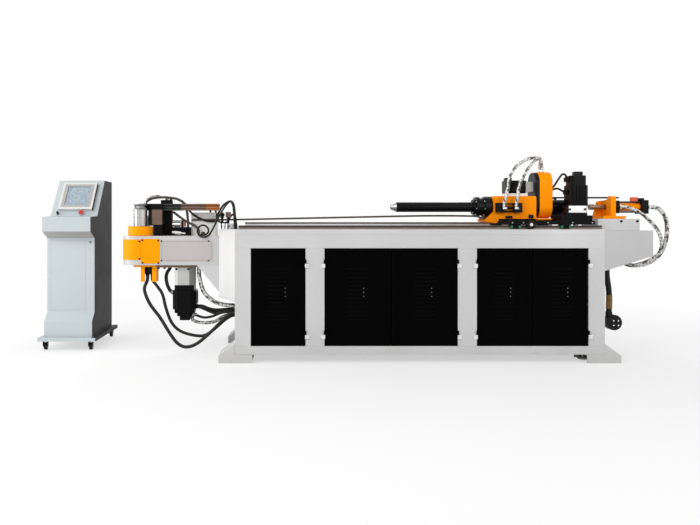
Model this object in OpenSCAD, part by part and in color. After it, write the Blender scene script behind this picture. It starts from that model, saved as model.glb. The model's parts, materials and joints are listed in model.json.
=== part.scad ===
// Tube bending machine with a swinging bending head, a feeding and turning chuck carriage and a desk.
// Origin: centre of the four floor anchor holes, at floor level. X runs to the tail, Z is up.

/* [Cabinet] */
// Length of the cabinet and the bed
cab_l = 2850; // [2600:10:3600]
// Depth of the cabinet
cab_w = 1100; // [1000:10:1400]
// Thickness of the bed plate
bed_t = 40; // [20:1:60]
// Height of the cabinet's underside over the floor
skirt_z = 67; // [50:1:120]
// Depth of the front frame's members
frame_t = 40; // [34:1:60]
// Height of the front frame's lower rail
base_rail = 64; // [50:1:120]
// Height of the front frame's upper rail
top_rail = 104; // [60:1:140]
// Width of the end post on the head side
post_head = 122; // [80:1:160]
// Width of the end post on the tail side
post_tail = 124; // [80:1:160]
// Width of the two middle posts
post_mid = 145; // [120:1:200]
// Width of the first door opening
bay_1 = 423; // [300:1:500]
// Width of the second door opening
bay_2 = 1029; // [800:1:1100]
// Thickness of the cabinet's sheets
sheet_t = 8; // [3:1:12]
// Thickness of the plates of the head end
end_t = 12; // [8:1:20]

/* [Feet] */
// Length of a foot bracket
foot_l = 263; // [200:1:320]
// How far a foot stands out past the cabinet
foot_out = 128; // [90:1:160]
// Depth of a foot bracket
foot_w = 240; // [180:1:300]
// Height of the foot's outer edge
foot_edge = 56; // [45:1:80]
// Height at which the foot's slope meets the cabinet
foot_top = 152; // [120:1:200]
// Thickness of the foot's plates
foot_t = 12; // [8:1:18]
// Radius of an anchor bolt hole
anchor_r = 11; // [6:0.5:14]
// Distance of the anchor holes from the foot's outer edge
anchor_in = 63; // [40:1:70]
// Radius of a levelling pad
pad_r = 42; // [25:1:50]

/* [Doors] */
// Thickness of a door
door_t = 18; // [12:1:24]
// How far the doors' faces lie behind the frame's face
door_in = 8; // [4:1:12]
// Gap round a door
door_gap = 3; // [2:0.5:5]
// Radius of a hinge knuckle
knuckle_r = 6; // [5:0.5:9]
// Radius of a hinge pin
hinge_pin_r = 3; // [2:0.1:4]
// Length of a hinge
hinge_l = 64; // [40:1:80]
// Distance of a hinge from the opening's end
hinge_in = 120; // [60:1:200]

// Length of the oil tank
tank_l = 650; // [500:10:700]
// Depth of the oil tank
tank_w = 500; // [350:10:560]
// Height of the oil tank
tank_h = 350; // [260:10:380]

/* [Head] */
// Bending radius, from the spindle to the tube's middle
clr = 57; // [50:0.5:60]
// Diameter of the tube that the tools fit
tube_d = 32; // [20:0.5:36]
// Height of the tube's middle
tube_z = 1218; // [1200:1:1260]
// Distance from the cabinet to the spindle
spindle_out = 835; // [780:1:900]
// Distance from the cabinet to the head housing
head_gap = 158; // [120:1:200]
// Radius of the housing's nose
arm_r = 140; // [125:1:160]
// Height of the head housing
arm_h = 240; // [220:1:300]
// How far the housing's top lies below the bed
arm_drop = 57; // [40:1:80]
// Distance of the housing's back from the tube
arm_back = 300; // [280:1:340]
// Thickness of the housing's walls
arm_t = 14; // [8:1:20]
// Thickness of the housing's top
arm_top = 30; // [20:1:36]
// Radius of the spindle's journal
spindle_r = 45; // [36:1:50]
// Radius of the spindle's tool pin
tool_pin_r = 25; // [16:0.5:30]
// Radius of the orange hub
hub_r = 103; // [90:1:108]
// Height of the hub and the swing arm
hub_h = 78; // [60:1:90]
// Length of the swing arm from the spindle
swing_l = 300; // [290:1:320]
// Width of the swing arm
swing_w = 120; // [100:1:130]
// Height of the dies' faces over and under the tube's middle
die_half = 23; // [20:1:28]
// Length of the bend die's straight grip and of the clamp die
grip_l = 54; // [40:1:56]
// Stroke of the clamp die
clamp_stroke = 35; // [20:1:40]
// Radius of the driven sprocket
sprocket_r = 96; // [80:1:104]
// Radius of the driving sprocket
pinion_r = 32; // [28:1:40]
// Distance between the spindle and the gearbox
chain_l = 379; // [360:1:400]
// Size of the gearbox's square body
gearbox_w = 160; // [150:1:175]
// Height of the gearbox
gearbox_h = 149; // [120:1:170]
// Size of the head motor's square body
bend_motor_w = 196; // [180:1:198]
// Height of the head motor
bend_motor_h = 264; // [230:1:275]

/* [Pressure die] */
// Length of the pressure die
press_l = 658; // [600:1:680]
// Depth of the pressure die
press_w = 44; // [36:1:48]
// Half the height of the pressure die
press_half = 29; // [26:1:34]
// Distance from the spindle to the slide
slide_in = 150; // [130:1:170]
// Length of the slide's base
slide_l = 250; // [200:1:270]
// Width of the slide's post
slide_post_w = 95; // [80:1:110]
// Height of the slide's base
slide_base_h = 74; // [60:1:80]

/* [Bed] */
// Distance of each rail from the middle
rail_y = 230; // [200:1:250]
// Width of a rail
rail_w = 34; // [25:1:38]
// Height of a rail
rail_h = 31; // [26:1:34]
// Distance from the bed's head end to the rails
rail_in = 5; // [2:1:60]
// Length of the rails
rail_l = 2970; // [2900:10:2970]
// Module of the rack and the feed pinion
gear_m = 5; // [4:0.5:5]
// Teeth of the feed pinion
pinion_teeth = 14; // [12:1:15]
// Height of the rack
rack_h = 30; // [24:1:31]

/* [Carriage] */
// Distance from the bed's head end to the carriage plate
car_in = 2215; // [2000:5:2230]
// Length of the carriage plate
car_l = 693; // [690:1:760]
// Half the width of the carriage plate
car_half = 270; // [262:1:290]
// Height of the carriage plate's underside over the bed
car_up = 38; // [36:1:48]
// Thickness of the carriage plate
car_t = 30; // [20:1:34]
// Height of the feet between the plate and the chuck housing
riser_h = 18; // [12:1:30]
// Length of a bearing block
block_l = 80; // [60:1:90]
// Width of a bearing block
block_w = 70; // [60:1:78]
// Length of the chuck housing
chuck_l = 355; // [345:1:360]
// Half the width of the chuck housing
chuck_half = 110; // [100:1:118]
// Height of the chuck housing over the tube's middle
chuck_up = 90; // [84:1:100]
// Height of the chuck housing under the tube's middle
chuck_down = 102; // [96:1:104]
// Length of the nose tube
nose_l = 649; // [500:1:720]
// Radius of the nose tube
nose_r = 42.5; // [38:0.5:48]
// Radius of the bore through the spindle
bore_r = 27; // [24:0.5:30]
// Radius of the largest chuck flange
flange_r = 90; // [80:1:94]
// Radius of the spindle's journal in the housing
journal_r = 60; // [50:1:70]
// Height of the upper pulley over the tube's middle
pulley_up = 170; // [168:1:180]
// Height of the belt cover's upper round over the tube's middle
cover_up = 202; // [195:1:215]
// Radius of the belt cover's round ends
cover_r = 96; // [88:1:98]
// Width of the belt cover
cover_l = 108; // [90:1:120]
// Size of the turning motor's square body
roll_w = 110; // [100:1:130]
// Length of the turning motor
roll_l = 180; // [150:1:190]
// Size of the turning gearbox
roll_box_w = 88; // [70:1:100]
// Radius of the cylinder behind the belt cover
draw_r = 62; // [54:1:66]
// Length of the cylinder behind the belt cover
draw_l = 270; // [220:1:290]
// Distance of the feed motor's axis from the tube
feed_y = 170; // [166:1:176]
// Size of the feed motor's square body
feed_w = 152; // [120:1:156]
// Height of the feed motor
feed_h = 250; // [200:1:280]
// Size of the feed gearbox's square flange
feed_flange_w = 168; // [150:1:172]
// Radius of the measuring wheel
wheel_r = 37; // [33:1:40]

/* [Tail] */
// Length of the tail box
tail_l = 542; // [500:1:620]
// Half the width of the tail box at its end
tail_half = 250; // [200:1:300]
// Height of the tail box at the cabinet
tail_h0 = 309; // [250:1:340]
// Height of the tail box at its end
tail_h1 = 208; // [160:1:240]
// Length of the block on the tail
block_top_l = 350; // [330:1:380]
// Height of the block on the tail
block_top_h = 96; // [80:1:110]
// Radius of the mandrel rod
rod_r = 16; // [12:0.5:20]
// Radius of the mandrel cylinder
mandrel_r = 34; // [30:1:44]
// Length of the mandrel cylinder between its caps
mandrel_l = 188; // [150:1:260]

/* [Console] */
// Distance from the cabinet's head end to the desk's nearer side
desk_gap = 1259; // [1255:1:1500]
// Width of the desk
desk_w = 410; // [360:1:460]
// Depth of the desk's body
desk_d = 560; // [520:1:640]
// Height of the desk
desk_h = 1470; // [1400:5:1550]
// Height of the desk's base plate over the floor
desk_base = 78; // [72:1:100]
// Thickness of the desk's base plate
base_t = 32; // [18:1:40]
// Radius of a caster wheel
caster_r = 30; // [26:1:32]

/* [Hidden] */
$fn = 72;

// Clearances: a seam between fixed plates, a running gap between moving pieces, a turning fit
seam = 0.3;
gap = 0.5;
run = 0.05;
eps = 1;

// Heights of the carriage and the bed, down from the tube
body_z0 = tube_z - chuck_down;
car_z1 = body_z0 - riser_h;
car_z0 = car_z1 - car_t;
bed_z = car_z0 - car_up;

// Cabinet outline
x0 = -cab_l / 2;
x1 = cab_l / 2;
yf = -cab_w / 2;
yb = cab_w / 2;
plate_z = bed_z - bed_t;
door_z0 = skirt_z + base_rail;
door_z1 = plate_z - top_rail;
b1a = x0 + post_head;
b1b = b1a + bay_1;
b2a = b1b + post_mid;
b2b = b2a + bay_2;
b3a = b2b + post_mid;
b3b = x1 - post_tail;

// Head
die_x = x0 - spindle_out;
die_y = -clr;
head_x = x0 - head_gap;
arm_z1 = bed_z - arm_drop;
arm_z0 = arm_z1 - arm_h;
arm_yf = die_y - arm_r;
arm_yb = arm_back;
end_z0 = arm_z0 - 263;
gusset_l = 181;
tube_r = tube_d / 2;
groove_r = tube_r + gap;
hub_z0 = arm_z1 + 2;
hub_z1 = hub_z0 + hub_h;
motor_x = die_x + chain_l;
chain_z = arm_z0 + 82;
chain_t = 30;
mount_t = 21;
box_z1 = arm_z0 - mount_t;
box_z0 = box_z1 - gearbox_h;
motor_z0 = box_z0 - bend_motor_h;

// Carriage
tube_y = 0;
car_x0 = x0 + car_in;
car_x1 = car_x0 + car_l;
body_z1 = tube_z + chuck_up;
body_x0 = car_x0 - 77;
body_x1 = body_x0 + chuck_l;
nose_x0 = body_x0 - 154 - nose_l;
back_x0 = body_x1 + seam;
back_t = 34;
cover_x0 = back_x0 + back_t + seam;
cover_x1 = cover_x0 + cover_l;
draw_x0 = cover_x1 + seam;
draw_x1 = draw_x0 + draw_l;
feed_x = cover_x1 + 160;
pitch_r = gear_m * pinion_teeth / 2;
rack_y = -feed_y + pitch_r;
roll_z = tube_z + pulley_up;
shelf_z = roll_z - roll_w / 2;
block_front_x = car_x0 + 50;
block_rear_x = car_x1 - 233;
wheel_x = car_x0 + 162;
wheel_y = -car_half - 22;
wheel_z = bed_z + wheel_r + gap;

// Tail
tail_x = x1 + tail_l;
tail_z1 = bed_z - 10;
tail_b0 = tail_z1 - tail_h0;
tail_b1 = tail_z1 - tail_h1;
top_x0 = x1 + 137;
top_x1 = top_x0 + block_top_l;
top_z1 = tail_z1 + seam + block_top_h;
brk_x = top_x0 + 133;
brk_t = 42;
man_x0 = brk_x + brk_t + seam;
cap_l = 56;
man_x1 = man_x0 + 2 * cap_l + mandrel_l;

// Desk
desk_x1 = x0 - desk_gap;
desk_x0 = desk_x1 - desk_w;
desk_yf = 60;
desk_yb = desk_yf + desk_d;
ledge_y = desk_yf - 120;
panel_y0 = desk_yf + 83;
panel_z0 = desk_h - 326;
panel_y1 = desk_yf + 320;
panel_a = atan2(desk_h - panel_z0, panel_y1 - panel_y0);
caster_y0 = ledge_y + 42;
caster_y1 = desk_yb + 10;
caster_x0 = desk_x0 + 12;
caster_x1 = desk_x1 - 12;
trail = 22;

// Colours as they look on the machine
paint = [0.79, 0.79, 0.79];
orange = [1, 0.55, 0.02];
black = [0.08, 0.08, 0.09];
steel = [0.72, 0.72, 0.72];
dark = [0.25, 0.22, 0.2];
brown = [0.42, 0.34, 0.3];

// A box given by its low corner and its high corner
module block(low, high) {
  translate(low) cube(high - low);
}

// A plate with its outline in X and Z, from one Y to another
module slab_y(points, y_low, y_high) {
  translate([0, y_high, 0]) rotate([90, 0, 0]) linear_extrude(y_high - y_low) polygon(points);
}

// A plate with its outline in Y and Z, from one X to another
module slab_x(points, x_low, x_high) {
  translate([x_low, 0, 0]) rotate([90, 0, 90]) linear_extrude(x_high - x_low) polygon(points);
}

// A round bar along X, Y or Z
module bar_x(x_low, x_high, y, z, r) {
  translate([x_low, y, z]) rotate([0, 90, 0]) cylinder(h = x_high - x_low, r = r);
}

module bar_y(x, y_low, y_high, z, r) {
  translate([x, y_high, z]) rotate([90, 0, 0]) cylinder(h = y_high - y_low, r = r);
}

module bar_z(x, y, z_low, z_high, r) {
  translate([x, y, z_low]) cylinder(h = z_high - z_low, r = r);
}

// A hose or a cable: rings of a tube swept along a smooth curve through the route's points
hose_sides = 8;
hose_steps = 3;

function smooth(a, b, c, d, t) = 0.5 * (2 * b + (c - a) * t + (2 * a - 5 * b + 4 * c - d) * t * t
  + (3 * b - a - 3 * c + d) * t * t * t);

function route(p) = [
  for (i = [0 : len(p) - 2], s = [0 : hose_steps - 1])
    smooth(p[max(i - 1, 0)], p[i], p[i + 1], p[min(i + 2, len(p) - 1)], s / hose_steps),
  p[len(p) - 1]
];

function unit(v) = v / norm(v);

function heading(q, i, first, last) = i == 0 ? first : i == len(q) - 1 ? last
  : unit(q[i + 1] - q[i - 1]);

function ring(c, dir, r, side) = let (u = unit(cross(dir, side)), v = cross(u, dir)) [
  for (k = [0 : hose_sides - 1]) c + r * (cos(360 * k / hose_sides) * u + sin(360 * k / hose_sides) * v)
];

module hose(p, r, first, last, side = [0, 1, 0]) {
  q = route(p);
  n = len(q);
  points = [for (i = [0 : n - 1]) each ring(q[i], heading(q, i, first, last), r, side)];
  walls = [
    for (i = [0 : n - 2], k = [0 : hose_sides - 1])
      let (a = i * hose_sides + k, b = i * hose_sides + (k + 1) % hose_sides)
        each [[a, a + hose_sides, b], [b, a + hose_sides, b + hose_sides]]
  ];
  head = [for (k = [1 : hose_sides - 2]) [0, k, k + 1]];
  last_ring = (n - 1) * hose_sides;
  tail = [for (k = [1 : hose_sides - 2]) [last_ring, last_ring + k + 1, last_ring + k]];
  polyhedron(points, concat(walls, head, tail));
}

// The hinge half on the post: its leaf, the lower knuckle and the pin
module hinge_pin(x, z, side) {
  knuckle_y = yf - seam - knuckle_r;
  bar_z(x, knuckle_y, z - hinge_l / 2, z - seam, knuckle_r);
  bar_z(x, knuckle_y, z - hinge_l / 2 + eps, z + hinge_l / 2 - eps, hinge_pin_r);
  block([min(x, x + side * 28), knuckle_y - 2, z - hinge_l / 2],
    [max(x, x + side * 28), yf - seam, z - seam]);
}

hinge_zs = [door_z0 + hinge_in - hinge_l / 2, door_z1 - hinge_in];

// The plates of the angled wall between the cabinet and the head, seen from above
module head_end() {
  plan = [[x0 - seam, yf], [head_x, arm_yf], [head_x, arm_yb], [x0 - seam, yb]];
  wall_z0 = end_z0 + end_t + seam;
  wall_z1 = bed_z - end_t - seam;
  translate([0, 0, bed_z - end_t]) linear_extrude(end_t) polygon(plan);
  translate([0, 0, end_z0]) linear_extrude(end_t) polygon(plan);
  for (side = [[yf, arm_yf, end_t], [yb, arm_yb, -end_t]])
    translate([0, 0, wall_z0]) linear_extrude(wall_z1 - wall_z0)
      polygon([[x0 - seam, side[0]], [head_x, side[1]], [head_x, side[1] + side[2]],
        [x0 - seam, side[0] + side[2]]]);
  block([head_x, arm_yf + end_t + seam, wall_z0], [head_x + end_t, arm_yb - end_t - seam, wall_z1]);
  for (y = [arm_yf, arm_yb - end_t])
    slab_y([[head_x - seam, arm_z0 - seam], [head_x - gusset_l, arm_z0 - seam],
      [head_x - seam, end_z0 + 43]], y, y + end_t);
}

// The tapered box at the tail, closed all round
module tail_shell(inset) {
  x_low = x1 + seam + inset;
  x_high = tail_x - inset;
  intersection() {
    translate([0, 0, tail_b0 - eps]) linear_extrude(tail_h0 + 2 * eps)
      polygon([[x_low, yf + 2 * inset], [x_high, inset - tail_half], [x_high, tail_half - inset],
        [x_low, yb - 2 * inset]]);
    slab_y([[x_low, tail_b0 + inset], [x_high, tail_b1 + inset], [x_high, tail_z1 - inset],
      [x_low, tail_z1 - inset]], yf, yb);
  }
}

block_half = 150;
ledge_half = 280;
rack_lo = x0 + rail_in;
rack_hi = rack_lo + rail_l;
gland_l = 20;
// Slanting glands under the tail box: the place of each outer end, and its radius
tail_glands = [[1790, -90, 765, 19], [1830, -25, 771, 22]];
gland_tilt = 45;
tail_gland_l = 50;
duct_y0 = 330;
duct_w = 60;
power_x = 1548;
power_y = -330;

module cabinet() {
  color(paint) {
    block([x0, yf, plate_z], [x1, yb, bed_z]);
    block([x0, yf, door_z1], [x1, yf + frame_t, plate_z - seam]);
    block([x0, yf, skirt_z], [x1, yf + frame_t, door_z0]);
    for (p = [[x0, b1a], [b1b, b2a], [b2b, b3a], [b3b, x1]])
      block([p[0], yf, door_z0 + seam], [p[1], yf + frame_t, door_z1 - seam]);
    block([x0, yb - sheet_t, skirt_z], [x1, yb, plate_z - seam]);
    block([x0 + sheet_t + seam, yf + frame_t + seam, skirt_z],
      [x1 - sheet_t - seam, yb - sheet_t - seam, skirt_z + sheet_t]);
    for (x = [(b1b + b2a) / 2, (b2b + b3a) / 2])
      block([x - sheet_t / 2, yf + frame_t + seam, skirt_z + sheet_t + seam],
        [x + sheet_t / 2, yb - sheet_t - seam, plate_z - seam]);
    // End walls with the glands of the hoses and cables
    block([x0, yf + frame_t + seam, skirt_z], [x0 + sheet_t, yb - sheet_t - seam, plate_z - seam]);
    for (g = [[-130, 335, 17], [-85, 305, 16], [-110, 392, 21], [-65, 358, 19]])
      bar_x(x0 - gland_l, x0 + eps, g[0], g[1], g[2]);
    block([x1 - sheet_t, yf + frame_t + seam, skirt_z], [x1, yb - sheet_t - seam, plate_z - seam]);
    head_end();
    // Ledge on the tail that carries the ends of the rails
    block([x1 + seam, -ledge_half, tail_z1 + seam], [rack_hi + 10, ledge_half, bed_z]);
    difference() {
      tail_shell(0);
      tail_shell(end_t);
    }
    bar_z(power_x, power_y, 704, tail_b0 + 30, 26);
    for (g = tail_glands)
      translate([g[0], g[1], g[2]]) rotate([0, -gland_tilt, 0]) cylinder(h = tail_gland_l, r = g[3]);
    // Block on the tail with its two bolt holes
    difference() {
      block([top_x0, -block_half, tail_z1 + seam], [top_x1, block_half, top_z1]);
      for (x = [top_x0 + 195, top_x0 + 329]) bar_y(x, -block_half - eps, -block_half + 30, top_z1 - 20, 6);
    }
    // Cable duct along the back of the bed
    difference() {
      block([x0 + 25, duct_y0, bed_z + seam], [x1 - 45, duct_y0 + duct_w, bed_z + duct_w]);
      block([x0, duct_y0 + 3, bed_z + 3], [x1, duct_y0 + duct_w - 3, bed_z + duct_w - 3]);
    }
  }
  color(steel) {
    for (z = hinge_zs) {
      hinge_pin(b1b, z, 1);
      hinge_pin(b2a, z, -1);
      hinge_pin(b2b, z, 1);
      hinge_pin(b3a, z, -1);
      hinge_pin(b3b, z, 1);
    }
  }
}

// One foot bracket of plates, for the tail's front corner, and its levelling pad
module foot() {
  in_x = x1 + foot_out - foot_l;
  out_x = x1 + foot_out;
  top = skirt_z - seam;
  slope = (foot_top - foot_edge) / foot_out;
  difference() {
    slab_y([[in_x, 0], [out_x, 0], [out_x, foot_edge], [x1 + seam, foot_top], [x1 + seam, top],
      [in_x, top]], yf, yf + foot_w);
    slab_y([[in_x - eps, -eps], [x1 - 30, -eps], [x1 - 30, 20], [out_x - foot_t, 20],
      [out_x - foot_t, foot_edge - foot_t + slope * foot_t],
      [x1 - 10, top - foot_t], [in_x - eps, top - foot_t]], yf + foot_t, yf + foot_w - foot_t);
    bar_z(out_x - anchor_in, yf + foot_w / 2, -eps, 20 + eps, anchor_r);
  }
  pad_x = in_x + pad_r + 2;
  bar_z(pad_x, yf + 173, 0, 14, pad_r);
  bar_z(pad_x, yf + 173, 14 - eps, top - foot_t - seam, 14);
}

module feet() {
  color(paint) for (mx = [0, 1], my = [0, 1]) mirror([mx, 0, 0]) mirror([0, my, 0]) foot();
}

// A door leaf from its hinge to its free edge, with the upper knuckles
module door(x_hinge, x_edge) {
  side = sign(x_edge - x_hinge);
  face_y = yf + door_in;
  knuckle_y = yf - seam - knuckle_r;
  xa = x_hinge + side * door_gap;
  xb = x_edge - side * door_gap;
  color(black) {
    difference() {
      union() {
        block([min(xa, xb), face_y, door_z0 + door_gap], [max(xa, xb), face_y + door_t, door_z1 - door_gap]);
        for (z = hinge_zs) {
          bar_z(x_hinge, knuckle_y, z + seam, z + hinge_l / 2, knuckle_r);
          block([min(x_hinge, x_hinge + side * 28), knuckle_y - 2, z + seam],
            [max(x_hinge, x_hinge + side * 28), knuckle_y + 2, z + hinge_l / 2]);
          block([min(x_hinge + side * 14, x_hinge + side * 28), knuckle_y, z + seam],
            [max(x_hinge + side * 14, x_hinge + side * 28), face_y + eps, z + hinge_l / 2]);
        }
        bar_y(xb - side * 30, face_y - 4, face_y + eps, (door_z0 + door_z1) / 2, 12);
      }
      for (z = hinge_zs) bar_z(x_hinge, knuckle_y, z, z + hinge_l / 2 + eps, hinge_pin_r + run);
    }
  }
}

module door_left() { door(b1b, b1a); }
module door_mid_left() { door(b2a, (b2a + b2b) / 2); }
module door_mid_right() { door(b2b, (b2a + b2b) / 2); }
module door_right_left() { door(b3a, (b3a + b3b) / 2); }
module door_right_right() { door(b3b, (b3a + b3b) / 2); }

// Oil tank with the pump, its motor and the valve block
module hydraulic_unit() {
  tank_z0 = skirt_z + sheet_t + seam;
  tank_z1 = tank_z0 + tank_h;
  xm = (b2a + b2b) / 2;
  tank_x0 = xm - tank_l + 250;
  tank_y0 = 440 - tank_w;
  motor_z = tank_z1 + 118;
  color(paint) difference() {
    block([tank_x0, tank_y0, tank_z0], [xm + 250, 440, tank_z1]);
    block([tank_x0 + 6, tank_y0 + 6, tank_z0 + 6], [xm + 244, 434, tank_z1 - 6]);
  }
  color(steel) {
    bar_x(xm - 350, xm - 60, 180, motor_z, 92);
    block([xm - 320, 90, tank_z1 + seam], [xm - 100, 270, motor_z - 70]);
    bar_x(xm - 60 + seam, xm + 70, 180, motor_z, 55);
    block([xm - 50, 140, tank_z1 + seam], [xm + 60, 220, motor_z - 40]);
    block([xm + 110, 60, tank_z1 + seam], [xm + 230, 380, tank_z1 + 130]);
  }
}

module electric_panel() {
  wall_y = yb - sheet_t - seam;
  color(paint) difference() {
    block([b3a + 45, wall_y - 240, door_z0 + 110], [b3b - 45, wall_y, door_z1 - 40]);
    block([b3a + 49, wall_y - 236, door_z0 + 114], [b3b - 49, wall_y - 4, door_z1 - 44]);
  }
}

// The head housing's outline from above: a round nose that widens to the cabinet
arm_wide_x = die_x + 180;

module arm_outline(inset) {
  translate([die_x, die_y]) circle(r = arm_r - inset, $fn = 120);
  polygon([[head_x - seam - inset, arm_yf + inset], [die_x, arm_yf + inset], [die_x, die_y + arm_r - inset],
    [arm_wide_x, arm_yb - inset], [head_x - seam - inset, arm_yb - inset]]);
}

hose_port_x = -1760;
hose_port_y = -100;

module head_housing() {
  boss_z1 = arm_z0 + arm_t + 36;
  color(paint) {
    difference() {
      union() {
        difference() {
          translate([0, 0, arm_z0]) linear_extrude(arm_h) arm_outline(0);
          translate([0, 0, arm_z0 + arm_t]) linear_extrude(arm_h - arm_t - arm_top) arm_outline(arm_t);
        }
        bar_z(die_x, die_y, arm_z0 + arm_t - eps, boss_z1, spindle_r + 17);
      }
      bar_z(die_x, die_y, arm_z0 + arm_t, boss_z1 + eps, spindle_r + run);
      bar_z(die_x, die_y, arm_z1 - arm_top - eps, arm_z1 + eps, spindle_r + run);
      bar_z(motor_x, die_y, arm_z0 - eps, arm_z0 + arm_t + eps, 38);
    }
    bar_z(hose_port_x, hose_port_y, arm_z0 - 20, arm_z0 + eps, 20);
    block([arm_wide_x + 225, 100, arm_z1 + seam], [head_x - 57, arm_yb, tube_z - 44]);
  }
}

guard_t = 4;

module head_guards() {
  guard_y = arm_yf - seam;
  color(orange) {
    block([die_x + 34, guard_y - guard_t, arm_z0 + 14], [die_x + 188, guard_y, arm_z1 - 23]);
    difference() {
      union() {
        bar_z(die_x, die_y, arm_z0 + 43, arm_z1 - 28, arm_r + seam + guard_t);
        block([die_x, guard_y - guard_t, arm_z0 + 43], [die_x + 32, die_y, arm_z1 - 28]);
      }
      bar_z(die_x, die_y, arm_z0, arm_z1, arm_r + seam);
      block([die_x, guard_y, arm_z0], [die_x + arm_r * 2, die_y + eps, arm_z1]);
      block([die_x - eps / 2, die_y, arm_z0], [die_x + arm_r * 2, die_y + arm_r * 2, arm_z1]);
      block([die_x - arm_r * 2, die_y + 60, arm_z0], [die_x + eps, die_y + arm_r * 2, arm_z1]);
    }
  }
}

// U-shaped bracket under the nose that holds the rotary union of the hoses
module hose_bracket() {
  y_low = arm_yf + 52;
  leg_z0 = arm_z0 - 141;
  plate_z0 = arm_z0 - 18;
  color(orange) {
    block([die_x - 40, y_low, plate_z0], [die_x + 150, y_low + 145, arm_z0 - seam]);
    for (leg = [[20, 28, 20, 54], [142, 150, 114, 150]]) {
      block([die_x + leg[0], y_low, leg_z0], [die_x + leg[1], y_low + 100, plate_z0 + eps]);
      block([die_x + leg[2], y_low, leg_z0], [die_x + leg[3], y_low + 8, plate_z0 + eps]);
    }
    bar_z(die_x + 85, y_low + 52, arm_z0 - 78, plate_z0 + eps, 40);
    bar_z(die_x + 70, y_low + 35, arm_z0 - 92, arm_z0 - 70, 17);
    bar_z(die_x + 104, y_low + 65, arm_z0 - 92, arm_z0 - 70, 17);
  }
}

module bend_gearbox() {
  half = gearbox_w / 2;
  color(steel) difference() {
    union() {
      block([motor_x - 223, die_y - 103, box_z1], [motor_x + 97, die_y + 103, arm_z0 - seam]);
      block([motor_x - half, die_y - half, box_z0], [motor_x + half, die_y + half, box_z1 + eps]);
    }
    bar_z(motor_x, die_y, box_z1 - 20, arm_z0, 24 + run);
  }
}

// A square body with cut corners
module square_motor(x, y, z_low, z_high, w, cut) {
  h = w / 2;
  translate([x, y, z_low]) linear_extrude(z_high - z_low)
    polygon([[cut - h, -h], [h - cut, -h], [h, cut - h], [h, h - cut], [h - cut, h], [cut - h, h],
      [-h, h - cut], [-h, cut - h]]);
}

module bend_motor() {
  top = box_z0 - seam;
  shoulder = top - 44;
  cable_z = box_z0 - 185;
  color(black) {
    square_motor(motor_x, die_y, shoulder, top, bend_motor_w - 34, 16);
    square_motor(motor_x, die_y, motor_z0 + 60, shoulder + eps, bend_motor_w, 40);
    square_motor(motor_x, die_y, motor_z0 + 28, motor_z0 + 60 + eps, bend_motor_w - 26, 38);
    square_motor(motor_x, die_y, motor_z0, motor_z0 + 28 + eps, bend_motor_w - 66, 30);
    block([motor_x - 44, die_y - 32, motor_z0 - 36], [motor_x + 40, die_y + 32, motor_z0 + eps]);
    bar_x(motor_x + bend_motor_w / 2 - 40, motor_x + 110, die_y, cable_z, 18);
  }
}

// A toothed disc outline: teeth with straight flanks, from the root radius to the tip radius
function teeth(n, r_root, r_tip, root_share, tip_share) = [
  for (k = [0 : n - 1], c = [[-root_share, r_root], [-tip_share, r_tip], [tip_share, r_tip],
    [root_share, r_root]])
    let (a = 360 / n * (k + c[0])) [c[1] * cos(a), c[1] * sin(a)]
];

sprocket_t = 20;

module bend_spindle() {
  color(steel) {
    bar_z(die_x, die_y, arm_z0 + arm_t + 2, hub_z0 + 20, spindle_r);
    translate([die_x, die_y, chain_z + 5]) linear_extrude(sprocket_t)
      polygon(teeth(36, sprocket_r - 8, sprocket_r, 0.36, 0.16));
    bar_z(die_x, die_y, hub_z0, tube_z + die_half + 8, tool_pin_r);
    bar_z(die_x, die_y, tube_z + die_half + seam, tube_z + die_half + 8, tool_pin_r + 12);
  }
}

clamp_y1 = 140;
clamp_x = die_x - grip_l / 2 - 1;
press_y0 = clamp_y1 + clamp_stroke + 10;

module swing_arm() {
  color(orange) difference() {
    union() {
      bar_z(die_x, die_y, hub_z0, hub_z1, hub_r);
      block([die_x - swing_w / 2, die_y, hub_z0], [die_x + swing_w / 2, die_y + swing_l, hub_z1]);
      block([clamp_x - 32, press_y0, hub_z1 - eps], [clamp_x + 32, press_y0 + clamp_stroke + 18,
        hub_z1 + 96]);
    }
    bar_z(die_x, die_y, hub_z0 - eps, hub_z0 + 20 + gap, spindle_r + run);
    bar_z(die_x, die_y, hub_z0, hub_z1 + eps, tool_pin_r + run);
    bar_y(clamp_x, press_y0 - eps, press_y0 + clamp_stroke + 15, hub_z1 + 50, 12 + run);
  }
}

module bend_die() {
  die_z0 = hub_z1 + seam;
  color(steel) difference() {
    union() {
      translate([die_x, die_y, 0]) rotate_extrude($fn = 120) difference() {
        translate([0, die_z0]) square([clr, tube_z + die_half - die_z0]);
        translate([clr, tube_z]) circle(r = groove_r);
      }
      difference() {
        block([die_x - grip_l, die_y + 10, tube_z - die_half], [die_x, 0, tube_z + die_half]);
        bar_x(die_x - grip_l - eps, die_x + eps, 0, tube_z, groove_r);
      }
    }
    bar_z(die_x, die_y, die_z0 - eps, tube_z + die_half + eps, tool_pin_r + run);
  }
}

module clamp_die() {
  color(steel) difference() {
    union() {
      block([die_x - grip_l, gap, tube_z - die_half], [die_x - 2, 40, tube_z + die_half]);
      block([die_x - grip_l, 30, hub_z1 + seam], [die_x - 2, clamp_y1, tube_z + die_half]);
      bar_y(clamp_x, clamp_y1 - eps, press_y0 + 12, hub_z1 + 50, 12);
    }
    bar_x(die_x - grip_l - eps, die_x, 0, tube_z, groove_r);
  }
}

module chain_outline(grow) {
  hull() {
    translate([die_x, die_y]) circle(r = sprocket_r + grow);
    translate([motor_x, die_y]) circle(r = pinion_r + grow);
  }
}

module drive_chain() {
  color(dark) translate([0, 0, chain_z]) linear_extrude(chain_t) difference() {
    chain_outline(gap + 12);
    chain_outline(gap);
  }
}

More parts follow.
